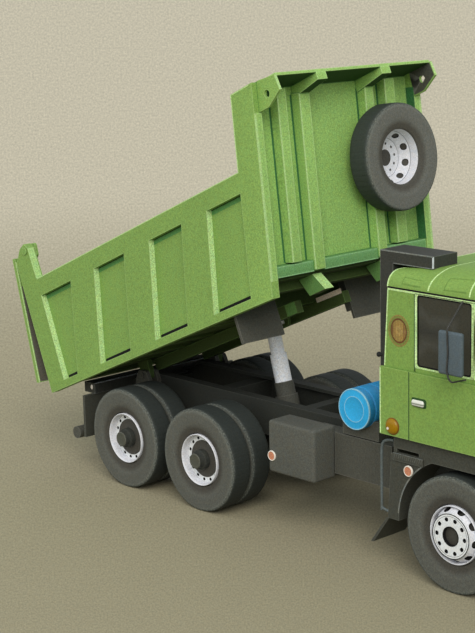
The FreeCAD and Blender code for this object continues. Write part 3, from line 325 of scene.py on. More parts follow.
def softProfile(points, radius=0.3, steps=3):
    # every inner corner becomes (1-t)^2 a + 2t(1-t) corner + t^2 b; a and b lie up to radius away on its sides
    points = np.asarray(points, float)
    corner = points[1:-1]
    back, ahead = points[:-2] - corner, points[2:] - corner
    backLength = np.linalg.norm(back, axis=1, keepdims=True)
    aheadLength = np.linalg.norm(ahead, axis=1, keepdims=True)
    start = corner + back / backLength * np.minimum(radius, 0.45 * backLength)
    end = corner + ahead / aheadLength * np.minimum(radius, 0.45 * aheadLength)
    t = np.linspace(0, 1, steps + 1)[None, :, None]
    curve = (1 - t) ** 2 * start[:, None] + 2 * t * (1 - t) * corner[:, None] + t**2 * end[:, None]
    return np.concatenate([points[:1], curve.reshape(-1, points.shape[1]), points[-1:]])


def roundOutline(corners, radius, steps=5):  # closed outline with softened corners
    corners = np.asarray(corners, float)
    start = (corners[0] + corners[-1]) / 2
    return softProfile(np.concatenate([[start], corners, [start]]), radius, steps)


def turned(profile, steps=96, wobble=0.0):
    # (radius, depth) points carried round the Y axis: x = r cos a, y = depth, z = r sin a
    profile = np.asarray(profile, float)
    angle = np.linspace(0, 2 * np.pi, steps + 1)
    radius = np.broadcast_to(profile[:, 0], (steps + 1, len(profile)))
    if wobble:  # hand-cut outline: a few slow waves, the same at both ends of the turn
        wave = np.sin(3 * angle + 0.7) + 0.8 * np.sin(7 * angle + 2.1) + 0.6 * np.sin(13 * angle + 4.0)
        radius = radius + wobble * wave[:, None] * (radius > 0.9 * profile[:, 0].max())
    return np.stack([radius * np.cos(angle)[:, None], np.broadcast_to(profile[:, 1], radius.shape),
                     radius * np.sin(angle)[:, None]], axis=-1)


def holedBand(outer, inner, count, hole, wall, phase=0.0, rings=3, sides=32):
    # a cone band between two (radius, depth) circles, made of count cells. In each cell, rings of points run from the
    # hole's circle to the cell's square edge: p = hole + (square - hole) v, in (angle, share of the band) coordinates
    outer, inner = np.asarray(outer, float), np.asarray(inner, float)
    run = inner - outer
    slant = np.linalg.norm(run)
    middle = (outer[0] + inner[0]) / 2
    cell = np.pi / count
    t = np.linspace(0, 2 * np.pi, sides + 1)
    direction = np.stack([np.cos(t), np.sin(t)], -1)
    square = direction / np.abs(direction).max(-1, keepdims=True) * (cell, 0.5)
    circle = direction * (hole / middle, hole / slant)
    v = np.concatenate([[0, 0.07], np.linspace(0.4, 1, rings)])[:, None, None]
    flat = circle + (square - circle) * v
    flat = np.concatenate([flat[:1], flat])  # the extra first ring is the foot of the hole's wall
    sink = np.zeros((len(flat), 1))
    sink[0] = wall
    normal = np.array([-run[1], run[0]]) / slant
    normal = normal * np.sign(normal[1])  # the wall runs inwards
    centres = 2 * cell * np.arange(count) + math.radians(phase)
    angle = centres[:, None, None] + flat[None, ..., 0]
    share = 0.5 + flat[None, ..., 1]
    radius = outer[0] + run[0] * share + sink * normal[0]
    depth = outer[1] + run[1] * share + sink * normal[1]
    return list(np.stack([radius * np.cos(angle), np.broadcast_to(depth, angle.shape), radius * np.sin(angle)], -1))


def makePiece(name, patches, body, where=None, replaced=(), sharp=32):
    # patches: (grid of points in mm, card's name, map or None); the map is (u, v) for each grid point
    looks = list(dict.fromkeys(look for _, look, _ in patches))
    points, faces, numbers, maps = [], [], [], []
    count = 0
    for grid, look, uv in patches:
        rows, columns = grid.shape[:2]
        index = count + np.arange(rows * columns).reshape(rows, columns)
        cells = np.stack([index[:-1, :-1], index[1:, :-1], index[1:, 1:], index[:-1, 1:]], -1).reshape(-1, 4)
        if uv is None:
            uv = np.stack(np.meshgrid(np.linspace(0, 1, rows), np.linspace(0, 1, columns), indexing="ij"), -1)
        points.append(grid.reshape(-1, 3))
        faces.append(cells)
        numbers.append(np.full(len(cells), looks.index(look)))
        maps.append(uv.reshape(-1, 2))
        count += rows * columns
    points, faces = np.concatenate(points), np.concatenate(faces)
    mesh = bpy.data.meshes.new(name)
    mesh.from_pydata((where(points) if where else points) * mm, [], faces)
    mesh.polygons.foreach_set("material_index", np.concatenate(numbers))
    mesh.uv_layers.new(name="turned").data.foreach_set("uv", np.concatenate(maps)[faces.ravel()].ravel())
    for look in looks:
        mesh.materials.append(cards[look])
    work = bmesh.new()
    work.from_mesh(mesh)
    bmesh.ops.remove_doubles(work, verts=work.verts, dist=0.004 * mm)
    bmesh.ops.dissolve_degenerate(work, edges=work.edges, dist=0.001 * mm)
    bmesh.ops.recalc_face_normals(work, faces=work.faces)
    work.to_mesh(mesh)
    work.free()
    mesh.shade_smooth()
    mesh.set_sharp_from_angle(angle=math.radians(sharp))
    piece = bpy.data.objects.new(name, mesh)
    bpy.context.scene.collection.objects.link(piece)
    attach(piece, body)
    if replaced:
        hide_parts(*replaced)


def carded(card, *grids):
    return [(grid, card, None) for grid in grids]


def placedBy(axes, at):  # points carried by three axes, the columns of a matrix, and a place in mm
    return lambda points: points @ np.asarray(axes, float).T + at


def nodeBox(name):
    low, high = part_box(name)
    return np.array(low) / mm, np.array(high) / mm


tyreShape = {
    "profile": [(9.05, 4.0), (9.05, 1.5), (9.2, 0.95), (11.6, 0.3), (13.2, 0.03), (16.2, 0.0), (17.5, 0.25),
                (17.8, 1.1), (17.8, 6.9), (17.5, 7.75), (16.2, 8.0), (13.2, 7.97), (11.6, 7.7), (9.2, 7.05),
                (9.05, 6.5), (9.05, 4.0)],
    "soft": 0.35, "steps": 240, "wobble": 0.035, "width": 8.0, "twinGap": 9.0, "frontOut": 0.5,
    "face": (86, 87, 80), "band": (66, 64, 57), "tread": (45, 50, 47), "worn": (112, 116, 108), "rough": 0.72,
    # shares of the way round the section, counted from the tread's middle
    "treadReach": (0.150, 0.128), "bandReach": (0.305, 0.36), "shoulder": ((0.108, 0.125), (0.172, 0.150)),
    "grooveReach": (0.165, 0.12), "streaks": (150.0, 26.0), "dashes": (150.0, 90.0), "blocks": (56.0, 9.0),
}
# the spare's tyre is a lighter copy of the tyre print: painted light
spareLitInk = {"face": (98, 99, 93), "band": (74, 72, 65), "tread": (56, 62, 58)}
rimShape = {
    "lip": [(8.88, 6.0), (8.88, 0.6), (8.78, 0.35), (8.62, 0.35), (8.4, 0.9)], "bore": 2.75, "nuts": 10, "hands": 9,
    "hand": 1.12,
    "front": {"cone": ((8.5, 2.4), (6.95, -0.4)), "face": -0.88, "edge": 6.7, "nutBand": (6.0, 4.2), "nut": 0.6,
              "turn": 31.7,
              "core": [(0, 0.1), (2.9, 0.1), (2.9, 1.6), (6.3, 1.6), (8.2, 3.4), (8.4, 7.3), (8.7, 7.5), (8.7, 7.9),
                       (8.0, 7.5), (7.4, 3.6), (4.2, 2.9), (4.2, 8.0), (0, 8.0)]},
    "rear": {"ring": ((8.1, 2.95), (6.4, 2.95)), "holes": 14, "hole": 0.5, "turn": 10,
             "face": [(0, -1.5), (1.9, -1.5), (2.0, -1.58), (2.4, -1.58), (2.62, -1.35)],
             "wall": [(2.62, -1.35), (2.64, 0.3), (3.25, 0.4), (3.4, 0.6), (3.4, 2.4)],
             "hub": [(3.4, 2.4), (6.2, 2.8), (6.4, 2.85), (6.44, 3.2), (6.6, 3.5), (7.9, 3.6), (8.4, 8.0),
                     (8.7, 16.0), (8.7, 16.6), (8.1, 16.5), (7.8, 10.0), (4.2, 9.0), (4.2, 17.0), (0, 17.0)]},
    "spare": {"lip": [(9.2, 6.0), (9.2, 1.6), (9.0, 1.5)], "cone": ((8.65, 4.4), (6.75, 7.5)), "face": 8.1,
              "nutBand": (5.5, 3.9), "nut": 0.38, "turn": 22.3, "nutTurn": 7.8,
              "core": [(0, 8.18), (5.9, 8.25), (6.7, 8.1), (8.5, 5.2), (8.9, 4.8), (8.9, 8.0), (0, 8.4)],
              "lines": ([(6.7, 8.0), (6.55, 7.98), (6.5, 8.07), (6.7, 8.0)],
                        [(8.72, 4.3), (8.6, 4.36), (8.56, 4.46), (8.72, 4.3)])},
}


def makeTyreMaterial(name, look):
    # u of the map is the turn, v the share of the way along the section; bands go by the distance from v = 0.5
    material, tree, shader = newMaterial(name, look["rough"], 0.3)
    around, along = split(tree, addNode(tree, "ShaderNodeUVMap", uv_map="turned").outputs[0])[:2]
    away = maths(tree, "ABSOLUTE", maths(tree, "SUBTRACT", along, 0.5))

    def laid(second, scale):
        return joined(tree, times(tree, around, scale[0]), times(tree, second, scale[1]))

    streak = noise(tree, laid(away, look["streaks"]), 1.0, 3.0)
    # darker band near the rim: partly the print's banding, partly painted shade of the sunk band by the bead
    bandShare = ramp(tree, maths(tree, "ADD", away, times(tree, streak, 0.02)), *look["bandReach"])
    face = mixColour(tree, bandShare, linear(*look["face"]), linear(*look["band"]))
    toned = scaled(tree, face, ramp(tree, streak, 0.3, 0.7, 0.86, 1.14))
    body = mixColour(tree, ramp(tree, away, *look["treadReach"]), toned, linear(*look["tread"]))
    # shoulders are rubbed pale in short dashes
    dash = noise(tree, laid(along, look["dashes"]), 1.0, 2.0, 0.5)
    shoulder = times(tree, ramp(tree, away, *look["shoulder"][0]), ramp(tree, away, *look["shoulder"][1]))
    rubbed = times(tree, shoulder, ramp(tree, dash, 0.44, 0.62, 0.14, 0.75))
    worn = mixColour(tree, rubbed, body, linear(*look["worn"]))
    ink = placeGroup(tree, inkGrain, {"Colour": worn, "Grain": 0.34, "Drift": 0.2, "Dot Size": 0.4})
    blocks = addNode(tree, "ShaderNodeTexWave", {"Vector": laid(away, look["blocks"]), "Scale": 0.32,
                                                 "Distortion": 0.0},
                     wave_type="BANDS", bands_direction="X").outputs["Fac"]
    groove = times(tree, ramp(tree, blocks, 0.16, 0.30), ramp(tree, away, *look["grooveReach"]))
    height = maths(tree, "ADD", times(tree, groove, 0.8), times(tree, ink["Height"], 0.35))
    setSurface(tree, shader, {"Colour": ink["Colour"], "Height": height}, 0.35, 0.16)
    return material


cards["tyrePrint"] = makeTyreMaterial("tyrePrint", tyreShape)
cards["spareLitPrint"] = makeTyreMaterial("spareLitPrint", {**tyreShape, **spareLitInk})


def tyrePatch(card, inward=0.0):
    profile = softProfile(tyreShape["profile"], tyreShape["soft"])
    profile[:, 1] += inward
    grid = turned(profile, tyreShape["steps"], tyreShape["wobble"])
    run = np.concatenate([[0], np.cumsum(np.linalg.norm(np.diff(profile, axis=0), axis=1))])
    uv = np.stack(np.meshgrid(np.linspace(0, 1, grid.shape[0]), run / run[-1], indexing="ij"), -1)
    return grid, card, uv


def holePatches(card, grids):  # the first rings of a holed cell, its hole's wall and a border round it, are black: painted shade in the hole
    return carded("hole", *(grid[:3] for grid in grids)) + carded(card, *(grid[2:] for grid in grids))


def frontRimPatches():
    look, bore = rimShape["front"], rimShape["bore"]
    cone, face, edge, nuts = (look[key] for key in ("cone", "face", "edge", "nutBand"))
    shoulder = [cone[1], (edge + 0.12, face + 0.5), (edge, face + 0.06), (edge - 0.1, face), (nuts[0], face)]
    patches = carded("rim", turned(softProfile(rimShape["lip"] + [cone[0]], 0.2)))
    patches += carded("plate", turned(softProfile(shoulder, 0.06)), turned([(nuts[1], face), (bore, face)]))
    # the bore's wall is black as painted shade
    patches += carded("hole", turned([(bore, face), (bore, 0.4)]))
    patches += carded("wheelDark", turned(softProfile(look["core"], 0.15, 2)))
    front, back = face - 0.03, face + 0.07  # three dark circles: at the plate's edge, inside it and round the bore
    for outer, inner in ((edge + 0.12, edge - 0.12), (edge - 0.62, edge - 0.7), (bore + 0.26, bore - 0.02)):
        section = [(outer, back), (outer, front), (inner, front), (inner, back), (outer, back)]
        patches += carded("hole", turned(section))
    patches += holePatches("rim", holedBand(*cone, rimShape["hands"], rimShape["hand"], 0.9, look["turn"]))
    nutHoles = holedBand((nuts[0], face), (nuts[1], face), rimShape["nuts"], look["nut"], 0.6)
    return patches + holePatches("plate", nutHoles)


def rearRimPatches():
    look = rimShape["rear"]
    patches = carded("rim", turned(softProfile(rimShape["lip"] + [look["ring"][0]], 0.2)))
    patches += holePatches("plate", holedBand(*look["ring"], look["holes"], look["hole"], 0.5, look["turn"]))
    # the rear hub's recess wall takes the darker card as painted shade
    for card, key, radius, steps in (("hubFace", "face", 0.08, 2), ("pitShade", "wall", 0.12, 3),
                                     ("wheelDark", "hub", 0.12, 3)):
        patches += carded(card, turned(softProfile(look[key], radius, steps)))
    return patches


def spareRimPatches():
    look, bore = rimShape["spare"], rimShape["bore"]
    cone, face, nuts = look["cone"], look["face"], look["nutBand"]
    step = softProfile([cone[1], (6.6, face - 0.1), (6.45, face), (nuts[0], face)], 0.12)
    lip = softProfile(look["lip"] + [cone[0]], 0.15)
    patches = carded("rim", turned(lip), turned(step), turned([(nuts[1], face), (bore, face)]))
    patches += holePatches("rim", holedBand(*cone, rimShape["hands"], rimShape["hand"], 0.5, look["turn"]))
    nutHoles = holedBand((nuts[0], face), (nuts[1], face), rimShape["nuts"], look["nut"], 0.15, look["nutTurn"])
    patches += holePatches("rim", nutHoles) + carded("line", *(turned(line) for line in look["lines"]))
    # the bore's wall is black as painted shade
    patches += carded("hole", turned([(bore, face), (bore, face + 0.12)]))
    return patches + carded("wheelDark", turned(softProfile(look["core"], 0.1, 2)))


for axle in ("front", "mid", "rear"):
    for side, sign in (("left", 1), ("right", -1)):
        twin = axle != "front"
        wheel = f"{axle}_{side}"
        tyreNode = wheel + ("_tyres" if twin else "_tyre")
        low, high = nodeBox(tyreNode)
        middle = (low + high) / 2
        outer = (high[1] if side == "left" else low[1]) + (0 if twin else sign * tyreShape["frontOut"])
        # depth runs inwards from the outer face
        where = placedBy(np.diag([1, -sign, 1]), (middle[0], outer, middle[2]))
        patches = [tyrePatch("tyrePrint", inward) for inward in ((0.0, tyreShape["twinGap"]) if twin else (0.0,))]
        makePiece(wheel + "_tyreRings", patches, wheel + "_wheel", where, [tyreNode])
        patches = rearRimPatches() if twin else frontRimPatches()
        makePiece(wheel + "_wheelDisc", patches, wheel + "_wheel", where, [wheel + "_rim"], sharp=40)

bedFrame = {"tip": math.radians(23.4), "hinge": (-160.0 + truckShift, 35.5), "gateTurn": math.radians(8.86),
            "gatePivot": (-21.1, 56.7)}
board = {
    "rear": 98.1, "low": 4.3, "high": 68.6, "lean": math.radians(16.7), "half": 35.85, "panel": 3.6, "card": 1.0,
    "foot": 5.4, "railTop": 9.4,
    # a rib's two edges across, its foot and its top
    "ribs": ((-28.6, -24.7, 9.9, 64.6), (-18.9, -14.2, 6.3, 62.6), (11.6, 15.7, 6.3, 62.6), (21.4, 26.2, 9.9, 64.6)),
    "gussets": ((-18.5, -14.2), (11.3, 15.7)), "railSpans": ((-35.85, -18.9), (-14.2, 11.6), (15.7, 35.85)),
    "lip": ((-4.6, -1.0), (8.0, -1.0), (8.0, 0), (-4.3, 0)),
    "gusset": ((-4.9, -4.9), (-1.3, -4.5), (8.05, -3.4), (8.05, 0.02), (-4.0, 0.02)),
}
spareLean = board["lean"] - bedFrame["tip"]
ahead = np.array([math.cos(spareLean), 0, -math.sin(spareLean)])  # out of the headboard
spareAxes = np.stack([(0, 1, 0), -ahead, (math.sin(spareLean), 0, math.cos(spareLean))], 1)
sparePlace = placedBy(spareAxes, sum(nodeBox("spare_tyre")) / 2 + ahead * tyreShape["width"] / 2)
makePiece("spareTyreRings", [tyrePatch("spareLitPrint")], "bed", sparePlace, ["spare_tyre"])
makePiece("spareWheelDisc", spareRimPatches(), "bed", sparePlace, ["spare_rim", "spare_carrier"],
          sharp=40)
print("wheels made")


def truckPoints(points):  # design frame to the shared frame, in mm
    return points + (truckShift, 0, 0)


def truckPiece(name, patches, replaced=(), sharp=32):
    makePiece(name, patches, "chassis", truckPoints, replaced, sharp)


def swung(points, angle, pivot):  # turned in the XZ plane, then set down at the pivot
    x, z = points[..., 0], points[..., 2]
    return np.stack([pivot[0] + x * math.cos(angle) - z * math.sin(angle), points[..., 1],
                     pivot[1] + x * math.sin(angle) + z * math.cos(angle)], -1)


def bedPoints(points):
    return swung(points, bedFrame["tip"], bedFrame["hinge"])


def bedPiece(name, patches, replaced=()):
    makePiece(name, patches, "bed", bedPoints, replaced)


def gatePoints(points):
    return bedPoints(swung(points, -bedFrame["gateTurn"], bedFrame["gatePivot"]))


def sideGrid(flat, y):  # (x, z) points laid in a plane facing the truck's side
    flat = np.asarray(flat, float)
    return np.stack([flat[..., 0], np.full(flat.shape[:-1], float(y)), flat[..., 1]], -1)


def slab(grid, back, card):
    # closed sheet: the grid, its copy moved by back, and the walls between their four borders
    other = grid + np.asarray(back, float)
    walls = []
    for near, far in ((grid, other), (grid.swapaxes(0, 1), other.swapaxes(0, 1))):
        walls += [np.stack([near[end], far[end]]) for end in (0, -1)]
    return carded(card, grid, other, *walls)


def sideSheet(corners, y, thick, card):  # four (x, z) corners in order, facing the truck's side
    first, second, third, fourth = np.asarray(corners, float)
    return slab(sideGrid(np.array([[first, fourth], [second, third]]), y), (0, thick, 0), card)


def crossSheet(first, second, yLow, yHigh, back, card):
    # straight run between two (x, z) places, carried across the truck
    run = np.array([first, second], float)
    return slab(np.stack([sideGrid(run, yLow), sideGrid(run, yHigh)], 1), back, card)


def upright(xLow, zLow, xHigh, zHigh):
    return (xLow, zLow), (xHigh, zLow), (xHigh, zHigh), (xLow, zHigh)


def block(corners, low, high, card, radius=0.2):  # prism across the truck, its softened outline in the XZ plane
    outline = roundOutline(corners, radius, 2)
    walls = np.stack([sideGrid(outline, low), sideGrid(outline, high)])
    return carded(card, walls, *(np.stack([wall, np.broadcast_to(wall.mean(0), wall.shape)]) for wall in walls))


def disc(outline, centre, rings=(1.0, 0.0)):  # outline drawn in towards the centre, one ring per share
    share = np.asarray(rings, float)[:, None, None]
    return centre + (np.asarray(outline, float)[None] - np.asarray(centre, float)) * share


def boreRing(outline, centre, bore):  # circle with one point on the way to each point of the outline
    away = outline - centre
    return centre + bore * away / np.linalg.norm(away, axis=1, keepdims=True)


def eyePlate(corners, radius, centre, bore, low, high, card):
    # plate with a bored eye: rings from its outline to the bore
    outline = roundOutline(corners, radius)
    eye = boreRing(outline, centre, bore)
    loops = [(outline, low), (outline, high), (eye, high), (eye, low), (outline, low)]
    return carded(card, np.stack([sideGrid(loop, y) for loop, y in loops]))


def tube(path, radius, card, sides=12, corner=0.8):
    # circle carried along a softened path; its frame comes from the tangent and one steady direction
    path = softProfile(path, corner, 4)
    tangent = np.gradient(path, axis=0)
    tangent /= np.linalg.norm(tangent, axis=1, keepdims=True)
    steady = np.eye(3)[np.argmin(np.abs(tangent).max(0))]
    first = np.cross(tangent, steady)
    first /= np.linalg.norm(first, axis=1, keepdims=True)
    second = np.cross(tangent, first)
    angle = np.linspace(0, 2 * np.pi, sides + 1)
    ring = np.cos(angle)[None, :, None] * first[:, None] + np.sin(angle)[None, :, None] * second[:, None]
    body = path[:, None] + radius * ring
    return carded(card, body, *(np.stack([np.broadcast_to(path[end], body[end].shape), body[end]])
                                for end in (0, -1)))


def roundedBox(low, high, radius, card, steps=4):
    # a smaller box's surface point plus the radius times the outward direction
    low, high = np.asarray(low, float), np.asarray(high, float)
    edge = np.linspace(0, radius, steps + 1)
    lines = [np.concatenate([low[k] + edge, high[k] - edge[::-1]]) for k in range(3)]
    patches = []
    for axis in range(3):
        a, b = [k for k in range(3) if k != axis]
        first, second = np.meshgrid(lines[a], lines[b], indexing="ij")
        for end in (low[axis], high[axis]):
            point = np.empty(first.shape + (3,))
            point[..., a], point[..., b], point[..., axis] = first, second, end
            inner = np.clip(point, low + radius, high - radius)
            out = point - inner
            patches.append(inner + radius * out / np.linalg.norm(out, axis=-1, keepdims=True))
    return carded(card, *patches)


def bothSides(patches):  # the same patches again on the truck's other side
    return patches + [(grid * (1, -1, 1), look, uv) for grid, look, uv in patches]


tank = {"x": -45.0, "z": 46.0, "radius": 6.5, "right": -31.0, "left": 11.0, "grooves": (2.6, 7.6, 20.0, 33.0),
        "groove": 0.45, "ring": (3.9, 4.1), "face": 6.15, "inset": 0.1,
        "cap": (44, 166, 222), "capEdge": (140, 192, 214), "barrel": (44, 142, 200)}
alteredCard("tankCap", "blue", colour=tank["cap"], grain=0.16)
alteredCard("tankEdge", "blue", colour=tank["capEdge"], grain=0.3)
alteredCard("tankBarrel", "blue", colour=tank["barrel"], grain=0.16)


def makeTank():
    radius, length, inset = tank["radius"], tank["left"] - tank["right"], tank["inset"]
    inner, outer = tank["ring"]
    deep = radius - tank["groove"]
    grooves = [point for depth in tank["grooves"] for point in
               ((radius, depth), (deep, depth + 0.18), (deep, depth + 0.5), (radius, depth + 0.68))]
    rim = softProfile([(tank["face"], inset), (tank["face"] + 0.05, 0), (radius, 0.05), (radius, 0.55)], 0.1)
    barrel = [(radius, 0.55)] + grooves + [(radius, length - 0.2), (radius - 0.4, length), (0, length)]
    patches = carded("tankCap", turned([(0, inset), (inner, inset)]), turned([(outer, inset), (tank["face"], inset)]))
    patches += carded("tankEdge", turned([(inner, inset), ((inner + outer) / 2, inset / 2), (outer, inset)]),
                      turned(rim))
    patches += carded("tankBarrel", turned(softProfile(barrel, 0.12, 2)))
    where = placedBy(np.eye(3), (tank["x"] + truckShift, tank["right"], tank["z"]))
    makePiece("hydraulicTank", patches, "chassis", where, ["hydraulic_tank"], sharp=50)


makeTank()

bedSide = {"half": 39.05, "floor": 36.85, "low": 7.0, "high": 39.0, "wall": 3.2,
           # a sunk panel's two feet and the slopes of its two ends
           "panels": ((-20.5, -11.4, 0.04, 0.37), (3.5, 22.0, 0.37, 0.37), (36.8, 55.1, 0.37, 0.37),
                      (69.4, 88.6, 0.35, 0.30)),
           # a painted shade strip's distance below the panel's top, and its width
           "strips": {"shade": (0.0, 0.35), "band": (0.35, 1.35)}, "slit": 1.35}


def makeRecessStrips():  # sunk panels: rear walls pale as painted light, slits at their feet, painted shade under the lips at their tops
    walls, slits, lips = [], [], {"shade": [], "band": []}
    half, inner, low, high = (bedSide[key] for key in ("half", "floor", "low", "high"))
    proud = -inner - 0.02
    for rear, front, rearSlope, frontSlope in bedSide["panels"]:
        foot = rear + 0.02
        # painted light: each sunk panel's rear wall is covered in pale card
        walls += crossSheet((foot, low), (foot + (high - low) * rearSlope, high), -half + 0.02, -inner, (0.05, 0, 0),
                            "pale")
        first = rear + (front - rear) * 0.03
        seam = ((first, low + 0.02), (front - 0.2, low + 0.02), (front + 0.2, low + bedSide["slit"]),
                (first + 0.6, low + 1.2))
        slits += sideSheet(seam, proud, -0.05, "hole")
        # painted shade: a dark line and a darker band on the panel just under its top lip
        for card, (drop, thick) in bedSide["strips"].items():
            above, below = high - low - drop, high - low - drop - thick
            corners = ((rear + below * rearSlope + 0.1, low + below), (front + below * frontSlope - 0.1, low + below),
                       (front + above * frontSlope - 0.1, low + above), (rear + above * rearSlope + 0.1, low + above))
            lips[card] += sideSheet(corners, proud, -0.05, card)
    named = {"recessWallHighlights": walls, "recessSlits": slits, "recessLips": lips["shade"], "recessShadowBands": lips["band"]}
    for name, patches in named.items():
        bedPiece(name, bothSides(patches))


makeRecessStrips()


def boardX(z):  # rear face of the leaning headboard at a height
    return board["rear"] + (z - board["low"]) * math.tan(board["lean"])


def boardPoint(along, out, y):  # distance up the headboard, distance in front of its ribs, place across
    along, out, y = np.broadcast_arrays(np.asarray(along, float), out, y)
    x = board["rear"] + along * math.sin(board["lean"]) + out * math.cos(board["lean"])
    return np.stack([x, y, board["low"] + along * math.cos(board["lean"]) - out * math.sin(board["lean"])], -1)


def boardBlock(low, high, back, front, yLow, yHigh, card):
    corners = boardPoint(np.array([low, low, high, high]), np.array([back, front, front, back]), 0.0)[:, [0, 2]]
    return block(corners, yLow, yHigh, card, 0.25)


def boardStrip(low, high, out, yLow, yHigh, card):  # thin strip lying on the headboard
    grid = boardPoint(np.array([[low], [high]], float), out, np.array([yLow, yHigh], float))
    return slab(grid, boardPoint(0, -0.04, 0.0) - boardPoint(0, 0, 0.0), card)


def makeHeadboard():
    half, depth, high = board["half"], board["panel"], board["high"]
    top = (high - board["low"]) / math.cos(board["lean"])
    foot = board["foot"] / math.cos(board["lean"])
    topX = boardX(high)
    patches = boardBlock(foot, top - 0.6, -depth - board["card"], -depth, -half, half, "wing")
    for yLow, yHigh, ribFoot, ribTop in board["ribs"]:
        patches += boardBlock(ribFoot, ribTop, -depth - 0.2, 0, yLow, yHigh, "wing")
        patches += boardStrip(ribFoot + 0.2, ribTop - 0.2, 0.02, yLow + 0.02, yLow + 0.55, "light")
        for y, signedWidth in ((yLow, -0.6), (yHigh, 0.6)):  # dark lines along the rib's foot, where rib and panel meet
            patches += boardStrip(max(ribFoot, 9.5), ribTop - 0.4, -depth + 0.03, y, y + signedWidth, "teal")
    patches += block([(topX + x, high + z) for x, z in board["lip"]], -half, half, "wing")
    patches += crossSheet((topX - 4.2, high - 1.03), (topX + 7.7, high - 1.03), 0.1 - half, half - 0.1, (0, 0, 0.05),
                          "shade")
    for yLow, yHigh in board["gussets"]:
        patches += block([(topX + x, high + z) for x, z in board["gusset"]], yLow, yHigh, "wing")
        patches += crossSheet((topX - 1.0, high - 4.49), (topX + 7.8, high - 3.45), yLow + 0.1, yHigh - 0.1,
                              (0, 0, 0.04), "shade")
    for yLow, yHigh in board["railSpans"]:  # cross rail in three lengths between the long ribs
        patches += boardBlock(foot + 0.2, board["railTop"], -depth - 0.2, -0.6, yLow, yHigh, "rail")
        for along in (foot + 0.25, board["railTop"] - 0.4):
            patches += boardStrip(along, along + 0.35, -0.57, yLow + 0.1, yHigh - 0.1, "railEdge")
    bedPiece("headboardCard", patches, ["headboard"])


makeHeadboard()

ladder = {
    "floor": 9.7, "rear": 0.6, "front": 80.0, "low": 0.4, "high": 4.5, "inner": 10.0, "outer": 13.0, "half": 34.3,
    # place along the bed, width, underside
    "members": ((-24.0, 4.0, 5.5), (0.0, 7.2, 5.1), (18.0, 4.0, 4.5), (35.0, 4.0, 4.5), (52.7, 12.0, 4.5),
                (64.0, 4.0, 4.5), (88.0, 4.0, 7.0)),
    "hinge": {"corners": ((-3.6, 9.6), (-2.2, 0.0), (-1.5, -1.9), (1.5, -1.9), (2.2, 0.0), (3.6, 9.6)), "radius": 1.0,
              "centre": (0.0, 0.0), "bore": 1.1, "low": 15.9, "high": 17.9},
    "ear": {"corners": ((46.7, 9.6), (48.5, -0.6), (56.9, -0.6), (58.7, 9.6)), "radius": 2.0, "centre": (52.7, 2.0),
            "bore": 2.45, "low": 3.7, "high": 4.7},
    "foot": ((90.2, 9.6), (96.9, 9.6), (100.5, 3.6), (93.0, 3.4)), "footAcross": (14.0, 18.0),
    "colour": (66, 84, 40), "edge": (120, 156, 84),
}
# the ladder's dark green comes from the under card: painted shade below the bed
alteredCard("ladder", "under", colour=ladder["colour"], edge=ladder["edge"], edgeWidth=0.5)


def makeLadder():  # beams, cross members, hinge eyes, cylinder ears and feet below the bed's floor
    rear, front, low, high, inner, outer = (ladder[key] for key in ("rear", "front", "low", "high", "inner", "outer"))
    patches = []
    for x, width, under in ladder["members"]:
        corners = upright(x - width / 2, under, x + width / 2, ladder["floor"])
        patches += block(corners, -ladder["half"], ladder["half"], "ladder")
    for side in (-1, 1):
        patches += block(upright(rear, low, front, high), side * inner, side * outer, "ladder")
        patches += block(ladder["foot"], *(side * y for y in ladder["footAcross"]), "ladder")
        for eye in (ladder["hinge"], ladder["ear"]):
            patches += eyePlate(eye["corners"], eye["radius"], eye["centre"], eye["bore"], side * eye["low"],
                                side * eye["high"], "ladder")
    # unprinted packing strip on the far beam, cut end of the near one
    patches += sideSheet(upright(front - 13.0, high - 0.6, front - 0.2, high + 1.1), inner - 0.03, 0.04, "bare")
    patches += sideSheet(upright(front - 5.0, low + 0.1, front - 0.1, high - 0.1), -outer - 0.02, 0.04, "footSide")
    bedPiece("bedLadder", patches, ["bed_underframe"])


makeLadder()

bedEdge = {
    "post": (9.4, 59.5), "postWidth": 0.8, "gatePost": -19.17, "gateHeights": (45.6, 57.2), "gateWidth": 2.7,
    "shadeSheet": (9.5, 61.0), "ear": ((8.22, 67.7), (8.62, 62.9)), "earAcross": (35.87, 36.83),
    # cut outline of the side: its rear and front, then for its two lines the waist's height and distance behind the
    # headboard, the top's height and distance behind the headboard's top
    "cutRear": -18.9, "cutFront": 1.4, "cutLines": ((45.4, 10.5, 68.5, 10.4), (45.1, 10.1, 68.2, 10.1)),
    "footFront": ((96.93, 9.6), (100.53, 3.65)), "footSide": ((90.4, 9.6), (96.8, 9.6), (100.4, 3.7), (93.0, 3.5)),
    "feet": ((-18.0, -14.0), (14.0, 18.0)),
}


